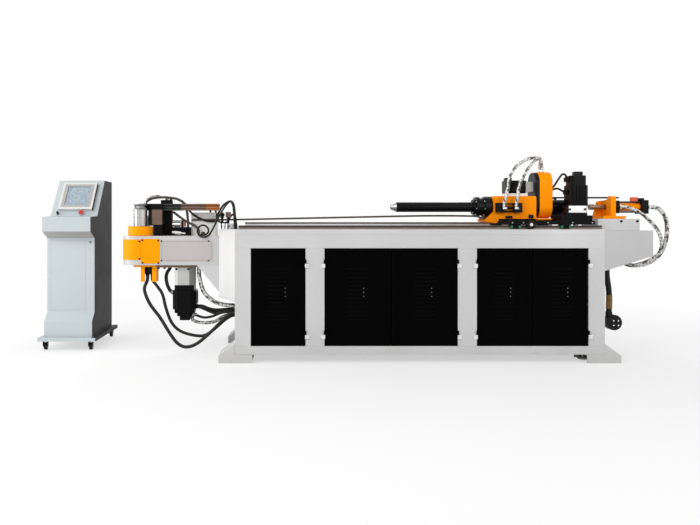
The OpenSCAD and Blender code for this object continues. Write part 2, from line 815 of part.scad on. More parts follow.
module drive_sprocket() {
  color(steel) {
    bar_z(motor_x, die_y, box_z1 - 18, chain_z + chain_t, 24);
    translate([motor_x, die_y, chain_z + 5]) linear_extrude(sprocket_t)
      polygon(teeth(12, pinion_r - 6, pinion_r, 0.36, 0.16));
  }
}

// The wiper die on its post, on the near side of the tube
module wiper_die() {
  post_x0 = die_x + hub_r + 5;
  tip_z0 = tube_z - die_half - 3;
  color(dark) difference() {
    union() {
      block([post_x0, -64, arm_z1 + seam], [die_x + 180, -4, tip_z0]);
      block([die_x + clr + 7, -52, hub_z1 + 5], [post_x0 + eps, -6, tip_z0]);
      block([die_x + 84, -38, tip_z0 - eps], [die_x + 180, -1, tube_z + die_half]);
    }
    bar_x(die_x, die_x + 200, 0, tube_z, groove_r);
  }
}

guide_y0 = gap + press_w + gap;

module pressure_slide() {
  slide_x0 = die_x + slide_in;
  color(black) {
    block([slide_x0, guide_y0 + 6, arm_z1 + seam], [slide_x0 + slide_l, 250, arm_z1 + slide_base_h]);
    block([slide_x0, guide_y0 + 6, arm_z1 + slide_base_h - eps], [slide_x0 + slide_post_w, 112, tube_z + 63]);
    block([slide_x0 - 35, guide_y0, tube_z - press_half], [slide_x0 + 181, 100, tube_z + press_half]);
    bar_z(slide_x0 + slide_post_w / 2, 82, tube_z + 62, tube_z + 90, 14);
  }
}

module pressure_die() {
  color(brown) difference() {
    block([die_x + 2, gap, tube_z - press_half], [die_x + 2 + press_l, gap + press_w, tube_z + press_half]);
    bar_x(die_x, die_x + press_l + 4, 0, tube_z, groove_r);
  }
}

// Rails with waisted sides, and the rack with its teeth towards the viewer
pitch = PI * gear_m;
flank = tan(20);
half_tooth = pitch / 4 - 0.4;
rack_teeth = [
  for (k = [ceil((rack_lo - feed_x) / pitch) : floor((rack_hi - feed_x) / pitch) - 1])
    let (xc = feed_x + (k + 0.5) * pitch)
      each [[xc - half_tooth - 1.2 * gear_m * flank, rack_y + 1.2 * gear_m],
        [xc - half_tooth + 0.9 * gear_m * flank, rack_y - 0.9 * gear_m],
        [xc + half_tooth - 0.9 * gear_m * flank, rack_y - 0.9 * gear_m],
        [xc + half_tooth + 1.2 * gear_m * flank, rack_y + 1.2 * gear_m]]
];

module feed_rails() {
  w = rail_w / 2;
  z = bed_z + seam;
  color(dark) {
    for (y = [-rail_y, rail_y])
      slab_x([[y - w, z], [y + w, z], [y + w, z + rail_h * 0.35], [y + w - 4, z + rail_h * 0.5],
        [y + w, z + rail_h * 0.75], [y + w, z + rail_h],
        [y - w, z + rail_h], [y - w, z + rail_h * 0.75], [y - w + 4, z + rail_h * 0.5],
        [y - w, z + rail_h * 0.35]], rack_lo, rack_hi);
    translate([0, 0, z]) linear_extrude(rack_h)
      polygon(concat([[rack_hi, rack_y + 26], [rack_lo, rack_y + 26], [rack_lo, rack_y + 1.2 * gear_m]],
        rack_teeth, [[rack_hi, rack_y + 1.2 * gear_m]]));
  }
}

feed_z0 = car_z1 + 66;
step_x0 = feed_x - 167;
step_y1 = -75;

module carriage_plate() {
  color(black) {
    difference() {
      union() {
        block([car_x0, -car_half, car_z0], [car_x1, car_half, car_z1]);
        for (x = [car_x0 + 10, car_x0 + 115, car_x0 + 220])
          block([x, 20 - chuck_half, car_z1 - eps], [x + 50, chuck_half - 20, body_z0 - seam]);
        block([step_x0, -car_half, car_z1 - eps], [feed_x + 93, step_y1, car_z1 + 45]);
        block([feed_x - 126, -car_half, car_z1 + 45 - eps], [feed_x + 50, -78, feed_z0 - seam]);
        block([draw_x0 + 40, -55, car_z1 - eps], [draw_x1 - 30, 55, tube_z - draw_r * 0.6]);
        block([wheel_x - 20, -car_half, wheel_z - 18], [wheel_x + 20, 20 - car_half, car_z0 + eps]);
      }
      bar_z(feed_x, -feed_y, car_z0 - eps, feed_z0, 20 + run);
      bar_x(draw_x0, draw_x1, 0, tube_z, draw_r + seam);
      bar_y(wheel_x, -car_half - eps, 20 - car_half + eps, wheel_z, 8 + run);
    }
  }
}

module bearing_blocks() {
  color(dark) for (x = [block_front_x, block_rear_x], y = [-rail_y, rail_y]) difference() {
    block([x - block_l / 2, y - block_w / 2, bed_z + 5], [x + block_l / 2, y + block_w / 2, car_z0 - seam]);
    block([x - block_l, y - rail_w / 2 - gap, bed_z], [x + block_l, y + rail_w / 2 + gap,
      bed_z + seam + rail_h + gap]);
  }
}

// Two round ends joined by straight sides, in Y and Z
module stadium(r, x_low, x_high) {
  translate([x_low, 0, 0]) rotate([90, 0, 90]) linear_extrude(x_high - x_low) {
    translate([tube_y, tube_z]) circle(r = r);
    translate([tube_y, tube_z + cover_up]) circle(r = r);
    translate([tube_y - r, tube_z]) square([2 * r, cover_up]);
  }
}

module chuck_housing() {
  c = 14;
  h = chuck_half;
  cheek_t = 14;
  foot_z = tube_z - flange_r;
  foot_x0 = body_x0 - 77;
  foot_rim = [[foot_x0, foot_z - 21], [foot_x0 + 5, foot_z - 34], [body_x0 + 18, foot_z - 49],
    [body_x0 + 39, foot_z - 28], [body_x0 + 39, body_z0 + eps], [body_x0 + eps, body_z0 + eps]];
  shelf_z1 = tube_z - cover_r - 2;
  color(orange) {
    difference() {
      union() {
        slab_x([[-h, body_z0], [h, body_z0], [h, body_z1 - c], [h - c, body_z1], [c - h, body_z1],
          [-h, body_z1 - c]], body_x0, body_x1);
        slab_y(concat([[body_x0 + eps, foot_z - 4]], foot_rim), cheek_t - h - eps, h - cheek_t + eps);
        for (y = [-h, h - cheek_t])
          slab_y(concat([[body_x0 + eps, tube_z - 38], [body_x0 - 8, tube_z - 44]], foot_rim), y, y + cheek_t);
        block([body_x0 + 117, -58, body_z1 - eps], [body_x0 + 300, 58, shelf_z - seam]);
      }
      bar_x(body_x0 - 1, body_x1 + 1, 0, tube_z, journal_r + run);
    }
    block([body_x1 - eps, -100, shelf_z1 - 12], [step_x0 - seam, 100, shelf_z1]);
    block([step_x0 - eps, step_y1 + seam, shelf_z1 - 12], [draw_x0 + 38, 100, shelf_z1]);
    block([back_x0, -70, car_z1 + seam], [draw_x0 + 30, 70, shelf_z1 - 11]);
  }
  color(black) difference() {
    stadium(cover_r - 4, back_x0, back_x0 + back_t);
    bar_x(back_x0 - eps, back_x0 + back_t + eps, 0, tube_z, journal_r + 3);
    bar_x(back_x0 - eps, back_x0 + back_t + eps, 0, roll_z, 18);
  }
}

// Motor and gearbox that turn the chuck, along X
module roll_motor() {
  box_x0 = body_x1 - 56;
  m = roll_w / 2;
  g = roll_box_w / 2;
  color(black) {
    slab_x([[12 - m, roll_z - m], [m - 12, roll_z - m], [m, roll_z + 12 - m], [m, roll_z + m - 12],
      [m - 12, roll_z + m], [12 - m, roll_z + m],
      [-m, roll_z + m - 12], [-m, roll_z + 12 - m]], box_x0 - roll_l, box_x0 - 12);
    block([box_x0 - roll_l + 6, -26, roll_z + m - eps], [box_x0 - roll_l + 60, 26, roll_z + m + 24]);
  }
  color(steel) difference() {
    union() {
      block([box_x0 - 12 - eps, -m + 4, roll_z - m + 4], [box_x0, m - 4, roll_z + m - 4]);
      block([box_x0 - eps, -g, roll_z - g], [body_x1, g, roll_z + g]);
    }
    bar_x(body_x1 - 22, body_x1 + eps, 0, roll_z, 12 + run);
  }
}

cover_top = tube_z + cover_up + cover_r;
port_x = cover_x0 + 51.4;
port_z = cover_top + 20;
port_r = 17;

module belt_cover() {
  wall = 4;
  color(orange) {
    difference() {
      stadium(cover_r, cover_x0, cover_x1);
      stadium(cover_r - wall, cover_x0 - eps, cover_x1 - wall);
      bar_x(cover_x1 - 2 * wall, cover_x1 + eps, 0, tube_z, bore_r);
    }
    bar_z(port_x, 0, cover_top - 2, port_z, port_r);
    bar_z(port_x, 42, cover_top - 24, port_z, port_r);
  }
}

module chuck_spindle() {
  f = body_x0;
  color(black) difference() {
    union() {
      bar_x(nose_x0, f - 150, 0, tube_z, nose_r);
      bar_x(f - 154, f - 132, 0, tube_z, 64);
      bar_x(f - 133, f - 100, 0, tube_z, flange_r - 3);
      bar_x(f - 101, f - 62, 0, tube_z, flange_r - 16);
      bar_x(f - 63, f - gap, 0, tube_z, flange_r);
      bar_x(f - eps, back_x0 + back_t + 2, 0, tube_z, journal_r);
      bar_x(back_x0 + back_t, cover_x1 - 12, 0, tube_z, 46);
      bar_x(cover_x0 + 16, cover_x1 - 20, 0, tube_z, 64);
    }
    bar_x(nose_x0 - eps, cover_x1, 0, tube_z, bore_r);
  }
}

collet_l = 47;

module collet() {
  color(steel) difference() {
    union() {
      translate([nose_x0 - collet_l, 0, tube_z]) rotate([0, 90, 0])
        cylinder(h = collet_l - gap, r1 = tube_r + 4, r2 = nose_r - 2);
      bar_x(nose_x0 - gap - eps, nose_x0 + 60, 0, tube_z, bore_r - run);
    }
    bar_x(nose_x0 - collet_l - eps, nose_x0 + 61, 0, tube_z, tube_r + 0.1);
  }
}

module motor_pulley() {
  color(steel) {
    bar_x(cover_x0 + 16, cover_x1 - 20, 0, roll_z, 40);
    bar_x(body_x1 - 20, cover_x0 + 17, 0, roll_z, 12);
  }
}

module feed_motor() {
  flange_z1 = feed_z0 + 58;
  top = flange_z1 + feed_h;
  h = feed_w / 2;
  color(steel) difference() {
    square_motor(feed_x - 25, -feed_y, feed_z0, flange_z1, feed_flange_w, 14);
    bar_z(feed_x, -feed_y, feed_z0 - eps, feed_z0 + 22, 20 + run);
  }
  color(black) {
    square_motor(feed_x, -feed_y, flange_z1 - eps, flange_z1 + 170, feed_w, 22);
    square_motor(feed_x, -feed_y, flange_z1 + 169, top, feed_w - 22, 20);
    block([feed_x - 20, -feed_y - 28, top - eps], [feed_x + 46, -feed_y + 28, top + 34]);
    block([feed_x - h - 22, -feed_y - 24, flange_z1 + 96], [feed_x - h + eps, -feed_y + 24, flange_z1 + 134]);
    block([feed_x - h - 16, -feed_y - 24, top - 50], [feed_x - h + 14, -feed_y + 24, top - 12]);
  }
}

module feed_pinion() {
  color(steel) {
    translate([feed_x, -feed_y, bed_z + 3]) rotate([0, 0, 90]) linear_extrude(26)
      polygon(teeth(pinion_teeth, pitch_r - 1.2 * gear_m, pitch_r + 0.9 * gear_m, 0.32, 0.1));
    bar_z(feed_x, -feed_y, bed_z + 3, feed_z0 + 20, 20);
  }
}

module draw_cylinder() {
  color(black) difference() {
    bar_x(draw_x0, draw_x1, 0, tube_z, draw_r);
    bar_x(draw_x0 - eps, draw_x1 + eps, 0, tube_z, bore_r);
    for (x = [draw_x0 + 24, draw_x1 - 30]) difference() {
      bar_x(x, x + 6, 0, tube_z, draw_r + eps);
      bar_x(x - eps, x + 7, 0, tube_z, draw_r - 4);
    }
  }
  // Bar that carries the cables along
  color(black) {
    block([draw_x0 + 10, 112, tube_z + 78], [draw_x1 + 392, 128, tube_z + 92]);
    for (x = [draw_x0 + 60, draw_x1 - 60]) block([x, 20, tube_z + 70], [x + 20, 128, tube_z + 79]);
    for (x = [draw_x0 + 60, draw_x1 - 60]) block([x, 20, tube_z + draw_r - 8], [x + 20, 30, tube_z + 71]);
  }
}

// Clamp cylinder on the chuck housing's front: two blocks, tie rods and two hose elbows
module chuck_cylinder() {
  y_low = -chuck_half - 40;
  y_high = -chuck_half - seam;
  z = tube_z - 9;
  color(black) {
    block([body_x0 + 8, y_low, z - 40], [body_x0 + 78, y_high, z + 40]);
    block([body_x0 + 158, y_low, z - 40], [body_x0 + 223, y_high, z + 40]);
    for (dz = [-32, 32]) bar_x(body_x0 + 77, body_x0 + 159, (y_low + y_high) / 2, z + dz, 6);
    bar_x(body_x0 + 77, body_x0 + 159, (y_low + y_high) / 2, z, 11);
    for (x = [68, 168]) {
      bar_y(body_x0 + x, y_low - 30, y_low + eps, tube_z - 20, 13);
      bar_z(body_x0 + x, y_low - 19, tube_z - 33, tube_z - 2, 16);
    }
  }
}

module measuring_wheel() {
  color(black) {
    bar_y(wheel_x, wheel_y - 11, wheel_y + 11, wheel_z, wheel_r);
    bar_y(wheel_x, wheel_y - 16, 18 - car_half, wheel_z, 8);
  }
}

module mandrel_bracket() {
  base_z1 = top_z1 + seam + 24;
  base_x0 = brk_x - 70;
  color(orange) difference() {
    union() {
      block([base_x0, -120, top_z1 + seam], [brk_x + 117, 120, base_z1]);
      slab_x([[-105, base_z1 - eps], [112, base_z1 - eps], [100, tube_z - 20], [64, tube_z + 56],
        [-30, tube_z + 62], [-48, tube_z + 90],
        [-92, tube_z + 90], [-105, tube_z + 70]], brk_x, brk_x + brk_t);
      slab_y([[base_x0, base_z1 - eps], [brk_x + eps, base_z1 - eps], [brk_x + eps, tube_z + 56],
        [base_x0 + 34, tube_z + 50]], 60, 84);
    }
    bar_x(brk_x - eps, brk_x + brk_t + eps, 0, tube_z, rod_r + run);
    bar_x(brk_x - eps, brk_x + 14, 0, tube_z, rod_r + 9);
  }
}

module mandrel_cylinder() {
  b0 = man_x0 + cap_l;
  b1 = b0 + mandrel_l;
  color(black) difference() {
    union() {
      slab_x([[-54, tube_z - 54], [54, tube_z - 54], [54, tube_z + 54], [-54, tube_z + 54]], man_x0, b0);
      slab_x([[-60, tube_z - 58], [60, tube_z - 58], [60, tube_z + 58], [-60, tube_z + 58]], b1, man_x1);
      bar_x(b0 - eps, b1 + eps, 0, tube_z, mandrel_r);
      for (dy = [-42, 42], dz = [-42, 42]) bar_x(b0 - eps, b1 + eps, dy, tube_z + dz, 6);
      bar_y(man_x0 + 30, -80, -53, tube_z, 13);
      bar_x(man_x0 + 18, 1800, -70, tube_z, 17);
      bar_x(man_x1 - eps, 2080, 0, tube_z, 20);
      block([b1 - 64, -22, tube_z + 46], [b1 - 18, 22, tube_z + 84]);
      block([b1 - 18 - eps, -24, tube_z + 46], [b1 + 38, 24, tube_z + 76]);
    }
    bar_x(man_x0 - eps, b0 + eps, 0, tube_z, rod_r + run);
    bar_x(b0 + eps / 2, b1 - 4, 0, tube_z, mandrel_r - 8);
  }
}

module mandrel_rod() {
  front = brk_x - 137;
  color(steel) difference() {
    union() {
      bar_x(front, man_x0 + cap_l + 24, 0, tube_z, rod_r);
      bar_x(front, front + 42, 0, tube_z, rod_r + 8);
      bar_x(man_x0 + cap_l + 6, man_x0 + cap_l + 24, 0, tube_z, mandrel_r - 8.3);
    }
    bar_x(front - eps, front + 34, 0, tube_z, 8);
  }
}

// Desk profile in Y and Z, with the same inset on every side
function desk_outline(t) = [
  [desk_yb - t, desk_base + base_t + t], [desk_yb - t, desk_h - t], [panel_y1 + 0.5 * t, desk_h - t],
  [panel_y0 + 0.7 * t, panel_z0 - t], [ledge_y + t, panel_z0 - 11 - t],
  [ledge_y + t, panel_z0 - 134 + 0.6 * t],
  [desk_yf + t, panel_z0 - 191 + 0.6 * t], [desk_yf + t, 313 - 0.5 * t], [desk_yf - 73 + t, 242 - 0.5 * t],
  [desk_yf - 73 + t, desk_base + base_t + t]
];

module on_panel(x, v) {
  translate([x, panel_y0, panel_z0]) rotate([panel_a, 0, 0]) translate([0, v, 0]) children();
}

stop_x = desk_x0 + 267;
knob_x = desk_x0 + 60;
button_v = 24;
stem_r = 8;
axle_r = 4;
wheel_cz = caster_r + 0.4;

// Two cheeks and an axle under a plate, with the axle at a distance from the plate's middle
module caster_frame(x, y, axle_y) {
  top = desk_base - seam;
  bar_z(x, y, top - 6, top, 27);
  for (s = [-1, 1]) {
    xa = x + s * 14;
    block([min(xa, xa + s * 4), min(y, axle_y) - 9, wheel_cz],
      [max(xa, xa + s * 4), max(y, axle_y) + 9, top - 5]);
  }
  bar_x(x - 18, x + 18, axle_y, wheel_cz, axle_r);
}

module console_shell() {
  color([0.76, 0.81, 0.83]) {
    difference() {
      union() {
        difference() {
          slab_x(desk_outline(0), desk_x0, desk_x1);
          slab_x(desk_outline(5), desk_x0 + 5, desk_x1 - 5);
        }
        on_panel(stop_x, button_v) translate([0, 0, -3]) cylinder(h = 11, r = 16);
        on_panel(knob_x, button_v) translate([0, 0, -3]) cylinder(h = 9, r = 14);
      }
      on_panel(stop_x, button_v) translate([0, 0, -20]) cylinder(h = 40, r = stem_r + run);
      on_panel(knob_x, button_v) translate([0, 0, -20]) cylinder(h = 40, r = 5 + run);
    }
    difference() {
      block([desk_x0 - 40, ledge_y, desk_base], [desk_x1 + 40, desk_yb + 60, desk_base + base_t - seam]);
      for (x = [caster_x0, caster_x1]) bar_z(x, caster_y0, desk_base - eps, desk_base + base_t, stem_r + run);
    }
    for (x = [caster_x0, caster_x1]) caster_frame(x, caster_y1, caster_y1 + trail);
  }
}

bezel_t = 34;

module console_screen() {
  color(steel) on_panel(desk_x0 + 60, 52) translate([0, 0, seam]) difference() {
    cube([300, 300, bezel_t]);
    translate([28, 30, bezel_t - 8]) cube([244, 240, 10]);
  }
}

module stop_button() {
  color("red") on_panel(stop_x, button_v) {
    translate([0, 0, -18]) cylinder(h = 36, r = stem_r);
    translate([0, 0, 15]) cylinder(h = 12, r = 20);
  }
}

module selector_knob() {
  color(black) on_panel(knob_x, button_v) {
    translate([0, 0, -18]) cylinder(h = 36, r = 5);
    translate([0, 0, 6.5]) cylinder(h = 12, r = 12);
    translate([-3.5, -12, 18]) cube([7, 24, 12]);
  }
}

module caster_fork(x) {
  color(black) {
    caster_frame(x, caster_y0, caster_y0 + trail);
    bar_z(x, caster_y0, desk_base - 3, desk_base + base_t - 4, stem_r);
  }
}

module caster_fork_left() { caster_fork(caster_x0); }
module caster_fork_right() { caster_fork(caster_x1); }

module caster_wheel(x, y) {
  color(dark) difference() {
    union() {
      bar_x(x - 11, x + 11, y + trail, wheel_cz, caster_r);
      bar_x(x - 13, x + 13, y + trail, wheel_cz, 10);
    }
    bar_x(x - 14, x + 14, y + trail, wheel_cz, axle_r + run);
  }
}

module wheel_front_left() { caster_wheel(caster_x0, caster_y0); }
module wheel_front_right() { caster_wheel(caster_x1, caster_y0); }
module wheel_rear_left() { caster_wheel(caster_x0, caster_y1); }
module wheel_rear_right() { caster_wheel(caster_x1, caster_y1); }

// Routes of the hoses and cables
outer_route = [
  [-2190, -110, 641], [-2192, -111, 600], [-2215, -116, 525], [-2170, -124, 410], [-2080, -130, 290],
  [-1995, -134, 155],
  [-1930, -136, 75], [-1857, -136, 48], [-1767, -134, 80], [-1655, -132, 175], [-1558, -130, 272],
  [-1490, -130, 328], [-1445, -130, 335]
];
inner_route = [
  [-2156, -80, 641], [-2154, -80, 600], [-2115, -81, 550], [-2070, -82, 480], [-2040, -84, 363],
  [-1992, -85, 243],
  [-1917, -86, 172], [-1804, -86, 137], [-1715, -86, 137], [-1632, -85, 190], [-1550, -85, 262],
  [-1490, -85, 300], [-1445, -85, 305]
];
wrapped_route = [
  [-1760, -100, 713], [-1760, -100, 665], [-1752, -100, 605], [-1716, -102, 499], [-1632, -106, 424],
  [-1540, -110, 396], [-1445, -110, 392]
];
motor_route = [
  [-1771, -57, 378], [-1735, -57, 376], [-1680, -60, 355], [-1618, -62, 345], [-1540, -64, 350],
  [-1480, -65, 357], [-1445, -65, 358]
];
chuck_front_route = [
  [781, -169, 1216], [781, -169, 1262], [808, -166, 1360], [832, -152, 1476], [907, -122, 1567],
  [996, -88, 1616], [1073, -55, 1634], [1135, -22, 1622],
  [port_x, 0, port_z + 22], [port_x, 0, port_z]
];
chuck_rear_route = [
  [881, -169, 1216], [881, -169, 1262], [890, -168, 1309], [908, -160, 1392], [971, -122, 1503],
  [1034, -72, 1572], [1100, -12, 1621], [1153, 26, 1631],
  [port_x, 42, port_z + 24], [port_x, 42, port_z]
];
tail_front_route = [
  [1800, -70, 1218], [1850, -70, 1215], [1911, -72, 1194], [1977, -75, 1155], [2033, -80, 1102],
  [2078, -85, 1049], [2109, -88, 995], [2126, -90, 937], [2127, -90, 879], [2106, -90, 833],
  [2066, -90, 795], [2007, -90, 760], [1937, -90, 736], [1872, -90, 723], [1822, -90, 737],
  [1790, -90, 765]
];
tail_rear_route = [
  [2080, 0, 1218], [2110, 0, 1216], [2155, -2, 1202], [2196, -5, 1156], [2216, -8, 1092],
  [2221, -10, 1024], [2213, -12, 955], [2190, -14, 879], [2155, -16, 817], [2105, -18, 771],
  [2042, -20, 738], [1975, -22, 722], [1912, -24, 722], [1864, -25, 740], [1830, -25, 771]
];
power_route = [
  [1548, -330, 704], [1548, -330, 660], [1556, -330, 600], [1564, -330, 540], [1567, -330, 480],
  [1566, -330, 420], [1564, -330, 370]
];
up = [0, 0, 1];
down = [0, 0, -1];
right = [1, 0, 0];
up_left = [-sin(gland_tilt), 0, cos(gland_tilt)];

module head_hose_outer() { color(dark) hose(outer_route, 14, down, right); }
module head_hose_inner() { color(dark) hose(inner_route, 13, down, right); }
module head_hose_wrapped() { color(steel) hose(wrapped_route, 18, down, right); }
module bend_motor_cable() { color(black) hose(motor_route, 16, right, right); }
module chuck_hose_front() { color(steel) hose(chuck_front_route, 14, up, down, [0.3, 1, 0]); }
module chuck_hose_rear() { color(steel) hose(chuck_rear_route, 14, up, down, [0.3, 1, 0]); }
module tail_hose_front() { color(steel) hose(tail_front_route, 15, right, up_left); }
module tail_hose_rear() { color(steel) hose(tail_rear_route, 18, right, up_left); }
module power_cable() { color(dark) hose(power_route, 22, down, down); }

plug_x = 1592;
plug_z = 285;

module power_plug() {
  color(black) {
    bar_z(1564, power_y, plug_z + 20, 370, 26);
    bar_y(plug_x, power_y - 35, power_y + 30, plug_z, 62);
    for (a = [45 : 90 : 315])
      bar_y(plug_x + 26 * cos(a), power_y - 62, power_y - 34, plug_z + 26 * sin(a), 6);
  }
}

cabinet();
feet();
door_left();
door_mid_left();
door_mid_right();
door_right_left();
door_right_right();
hydraulic_unit();
electric_panel();
head_housing();
head_guards();
hose_bracket();
bend_gearbox();
bend_motor();
bend_spindle();
swing_arm();
bend_die();
clamp_die();
drive_chain();
drive_sprocket();
wiper_die();
pressure_slide();
pressure_die();
feed_rails();
carriage_plate();
bearing_blocks();
chuck_housing();
roll_motor();
belt_cover();
chuck_spindle();
collet();
motor_pulley();
feed_motor();
feed_pinion();
draw_cylinder();
chuck_cylinder();
measuring_wheel();
mandrel_bracket();
mandrel_cylinder();
mandrel_rod();
console_shell();
console_screen();
stop_button();
selector_knob();
caster_fork_left();
caster_fork_right();
wheel_front_left();
wheel_front_right();
wheel_rear_left();
wheel_rear_right();
head_hose_outer();
head_hose_inner();
head_hose_wrapped();
bend_motor_cable();
chuck_hose_front();
chuck_hose_rear();
tail_hose_front();
tail_hose_rear();
power_cable();
power_plug();
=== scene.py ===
import json
import math

import bmesh
import bpy
from bpy.props import FloatProperty, FloatVectorProperty, IntProperty, PointerProperty
from bpy.types import Operator, Panel, PropertyGroup
from mathutils import Matrix, Vector

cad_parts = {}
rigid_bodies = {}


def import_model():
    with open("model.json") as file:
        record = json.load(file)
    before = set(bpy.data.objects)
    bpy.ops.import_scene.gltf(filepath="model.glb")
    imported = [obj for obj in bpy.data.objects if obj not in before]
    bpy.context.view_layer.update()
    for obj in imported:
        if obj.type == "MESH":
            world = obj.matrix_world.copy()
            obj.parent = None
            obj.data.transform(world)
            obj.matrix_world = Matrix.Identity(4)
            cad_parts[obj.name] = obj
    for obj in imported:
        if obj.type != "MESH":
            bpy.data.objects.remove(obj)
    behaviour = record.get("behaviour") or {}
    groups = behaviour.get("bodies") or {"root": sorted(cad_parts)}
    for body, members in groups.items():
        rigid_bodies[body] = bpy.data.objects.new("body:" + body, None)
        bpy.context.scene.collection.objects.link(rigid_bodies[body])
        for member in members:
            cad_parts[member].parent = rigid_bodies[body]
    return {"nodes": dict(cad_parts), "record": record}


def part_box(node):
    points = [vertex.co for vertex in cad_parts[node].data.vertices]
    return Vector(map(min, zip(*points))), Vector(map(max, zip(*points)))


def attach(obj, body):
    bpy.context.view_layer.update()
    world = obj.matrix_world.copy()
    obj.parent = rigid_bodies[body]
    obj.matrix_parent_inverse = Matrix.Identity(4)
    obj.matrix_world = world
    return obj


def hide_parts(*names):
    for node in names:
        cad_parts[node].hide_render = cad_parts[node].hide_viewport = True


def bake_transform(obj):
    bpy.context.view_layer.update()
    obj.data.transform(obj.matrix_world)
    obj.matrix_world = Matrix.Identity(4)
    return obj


bl_info = {
    "name": "Pipe Bending Machine",
    "version": (1, 0, 0),
    "blender": (4, 5, 0),
    "location": "3D View > Sidebar > Bender",
    "description": "Dresses the frame of a servo pipe bending machine and sets its studio",
    "category": "Add Mesh",
}

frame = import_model()
NODES = frame["nodes"]
BODY_OF = {node: body for body, nodes in frame["record"]["behaviour"]["bodies"].items() for node in nodes}
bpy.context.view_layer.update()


def part(node):
    """The low and high corner of a CAD node."""
    low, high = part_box(node)
    return Vector(low), Vector(high)


def middle_of(node):
    """The middle of a CAD node's box."""
    low, high = part(node)
    return (low + high) / 2


# Metres in a millimetre
MM = 0.001
# Gap that the frame leaves under each piece that stands on another
SEAT = 0.0003
# How far an added piece stands off the face it is fixed to
CLEAR = 0.0002
# A step that is too short to see, where a turned shape changes its radius at once
STEP = 0.0001

# Height of the tube's middle, the bed and the head's top, all in metres over the floor
TUBE_Z = middle_of("collet").z
BED_Z = part("feed_rails")[0].z - SEAT
ARM_TOP = part("pressure_slide")[0].z - SEAT
# The bend axis, and the motor's axis beside it
HEAD_X, HEAD_Y = middle_of("bend_spindle").xy
MOTOR_X = middle_of("drive_sprocket").x
# Front faces of the cabinet, the head and the guards on it
FRONT_Y = part("feet")[0].y
HEAD_FRONT = part("head_housing")[0].y
GUARD_FRONT = part("head_guards")[0].y

# Directions in which screws and turned shapes point
RIGHT, LEFT = (1, 0, 0), (-1, 0, 0)
FORWARD, BACKWARD = (0, -1, 0), (0, 1, 0)
UP, DOWN = (0, 0, 1), (0, 0, -1)


# Settings


class BenderSizes(PropertyGroup):
    edge: FloatProperty(
        name="Edge", description="Rounding of the plate edges", default=0.0016, min=0.0002, unit="LENGTH")
    wrap_pitch: FloatProperty(
        name="Wrap", description="Pitch of the spiral wrap on the hoses", default=0.030, min=0.01,
        unit="LENGTH")
    louvres: IntProperty(
        name="Louvres", description="Louvres in one column of a door", default=13, min=3, max=30)


class BenderColours(PropertyGroup):
    cabinet: FloatVectorProperty(
        name="Cabinet", description="Paint of the cabinet", subtype="COLOR", size=3,
        default=(0.565, 0.565, 0.565))
    orange: FloatVectorProperty(
        name="Orange", description="Paint of the moving castings", subtype="COLOR", size=3,
        default=(1.0, 0.335, 0.0))
    console: FloatVectorProperty(
        name="Console", description="Paint of the operator desk", subtype="COLOR", size=3,
        default=(0.47, 0.525, 0.545))
    rail: FloatVectorProperty(
        name="Rail", description="Oiled steel of the rails", subtype="COLOR", size=3,
        default=(0.10, 0.08, 0.07))


def sizes():
    return bpy.context.scene.bender_sizes


def colours():
    return bpy.context.scene.bender_colours


# Materials

MADE = {}


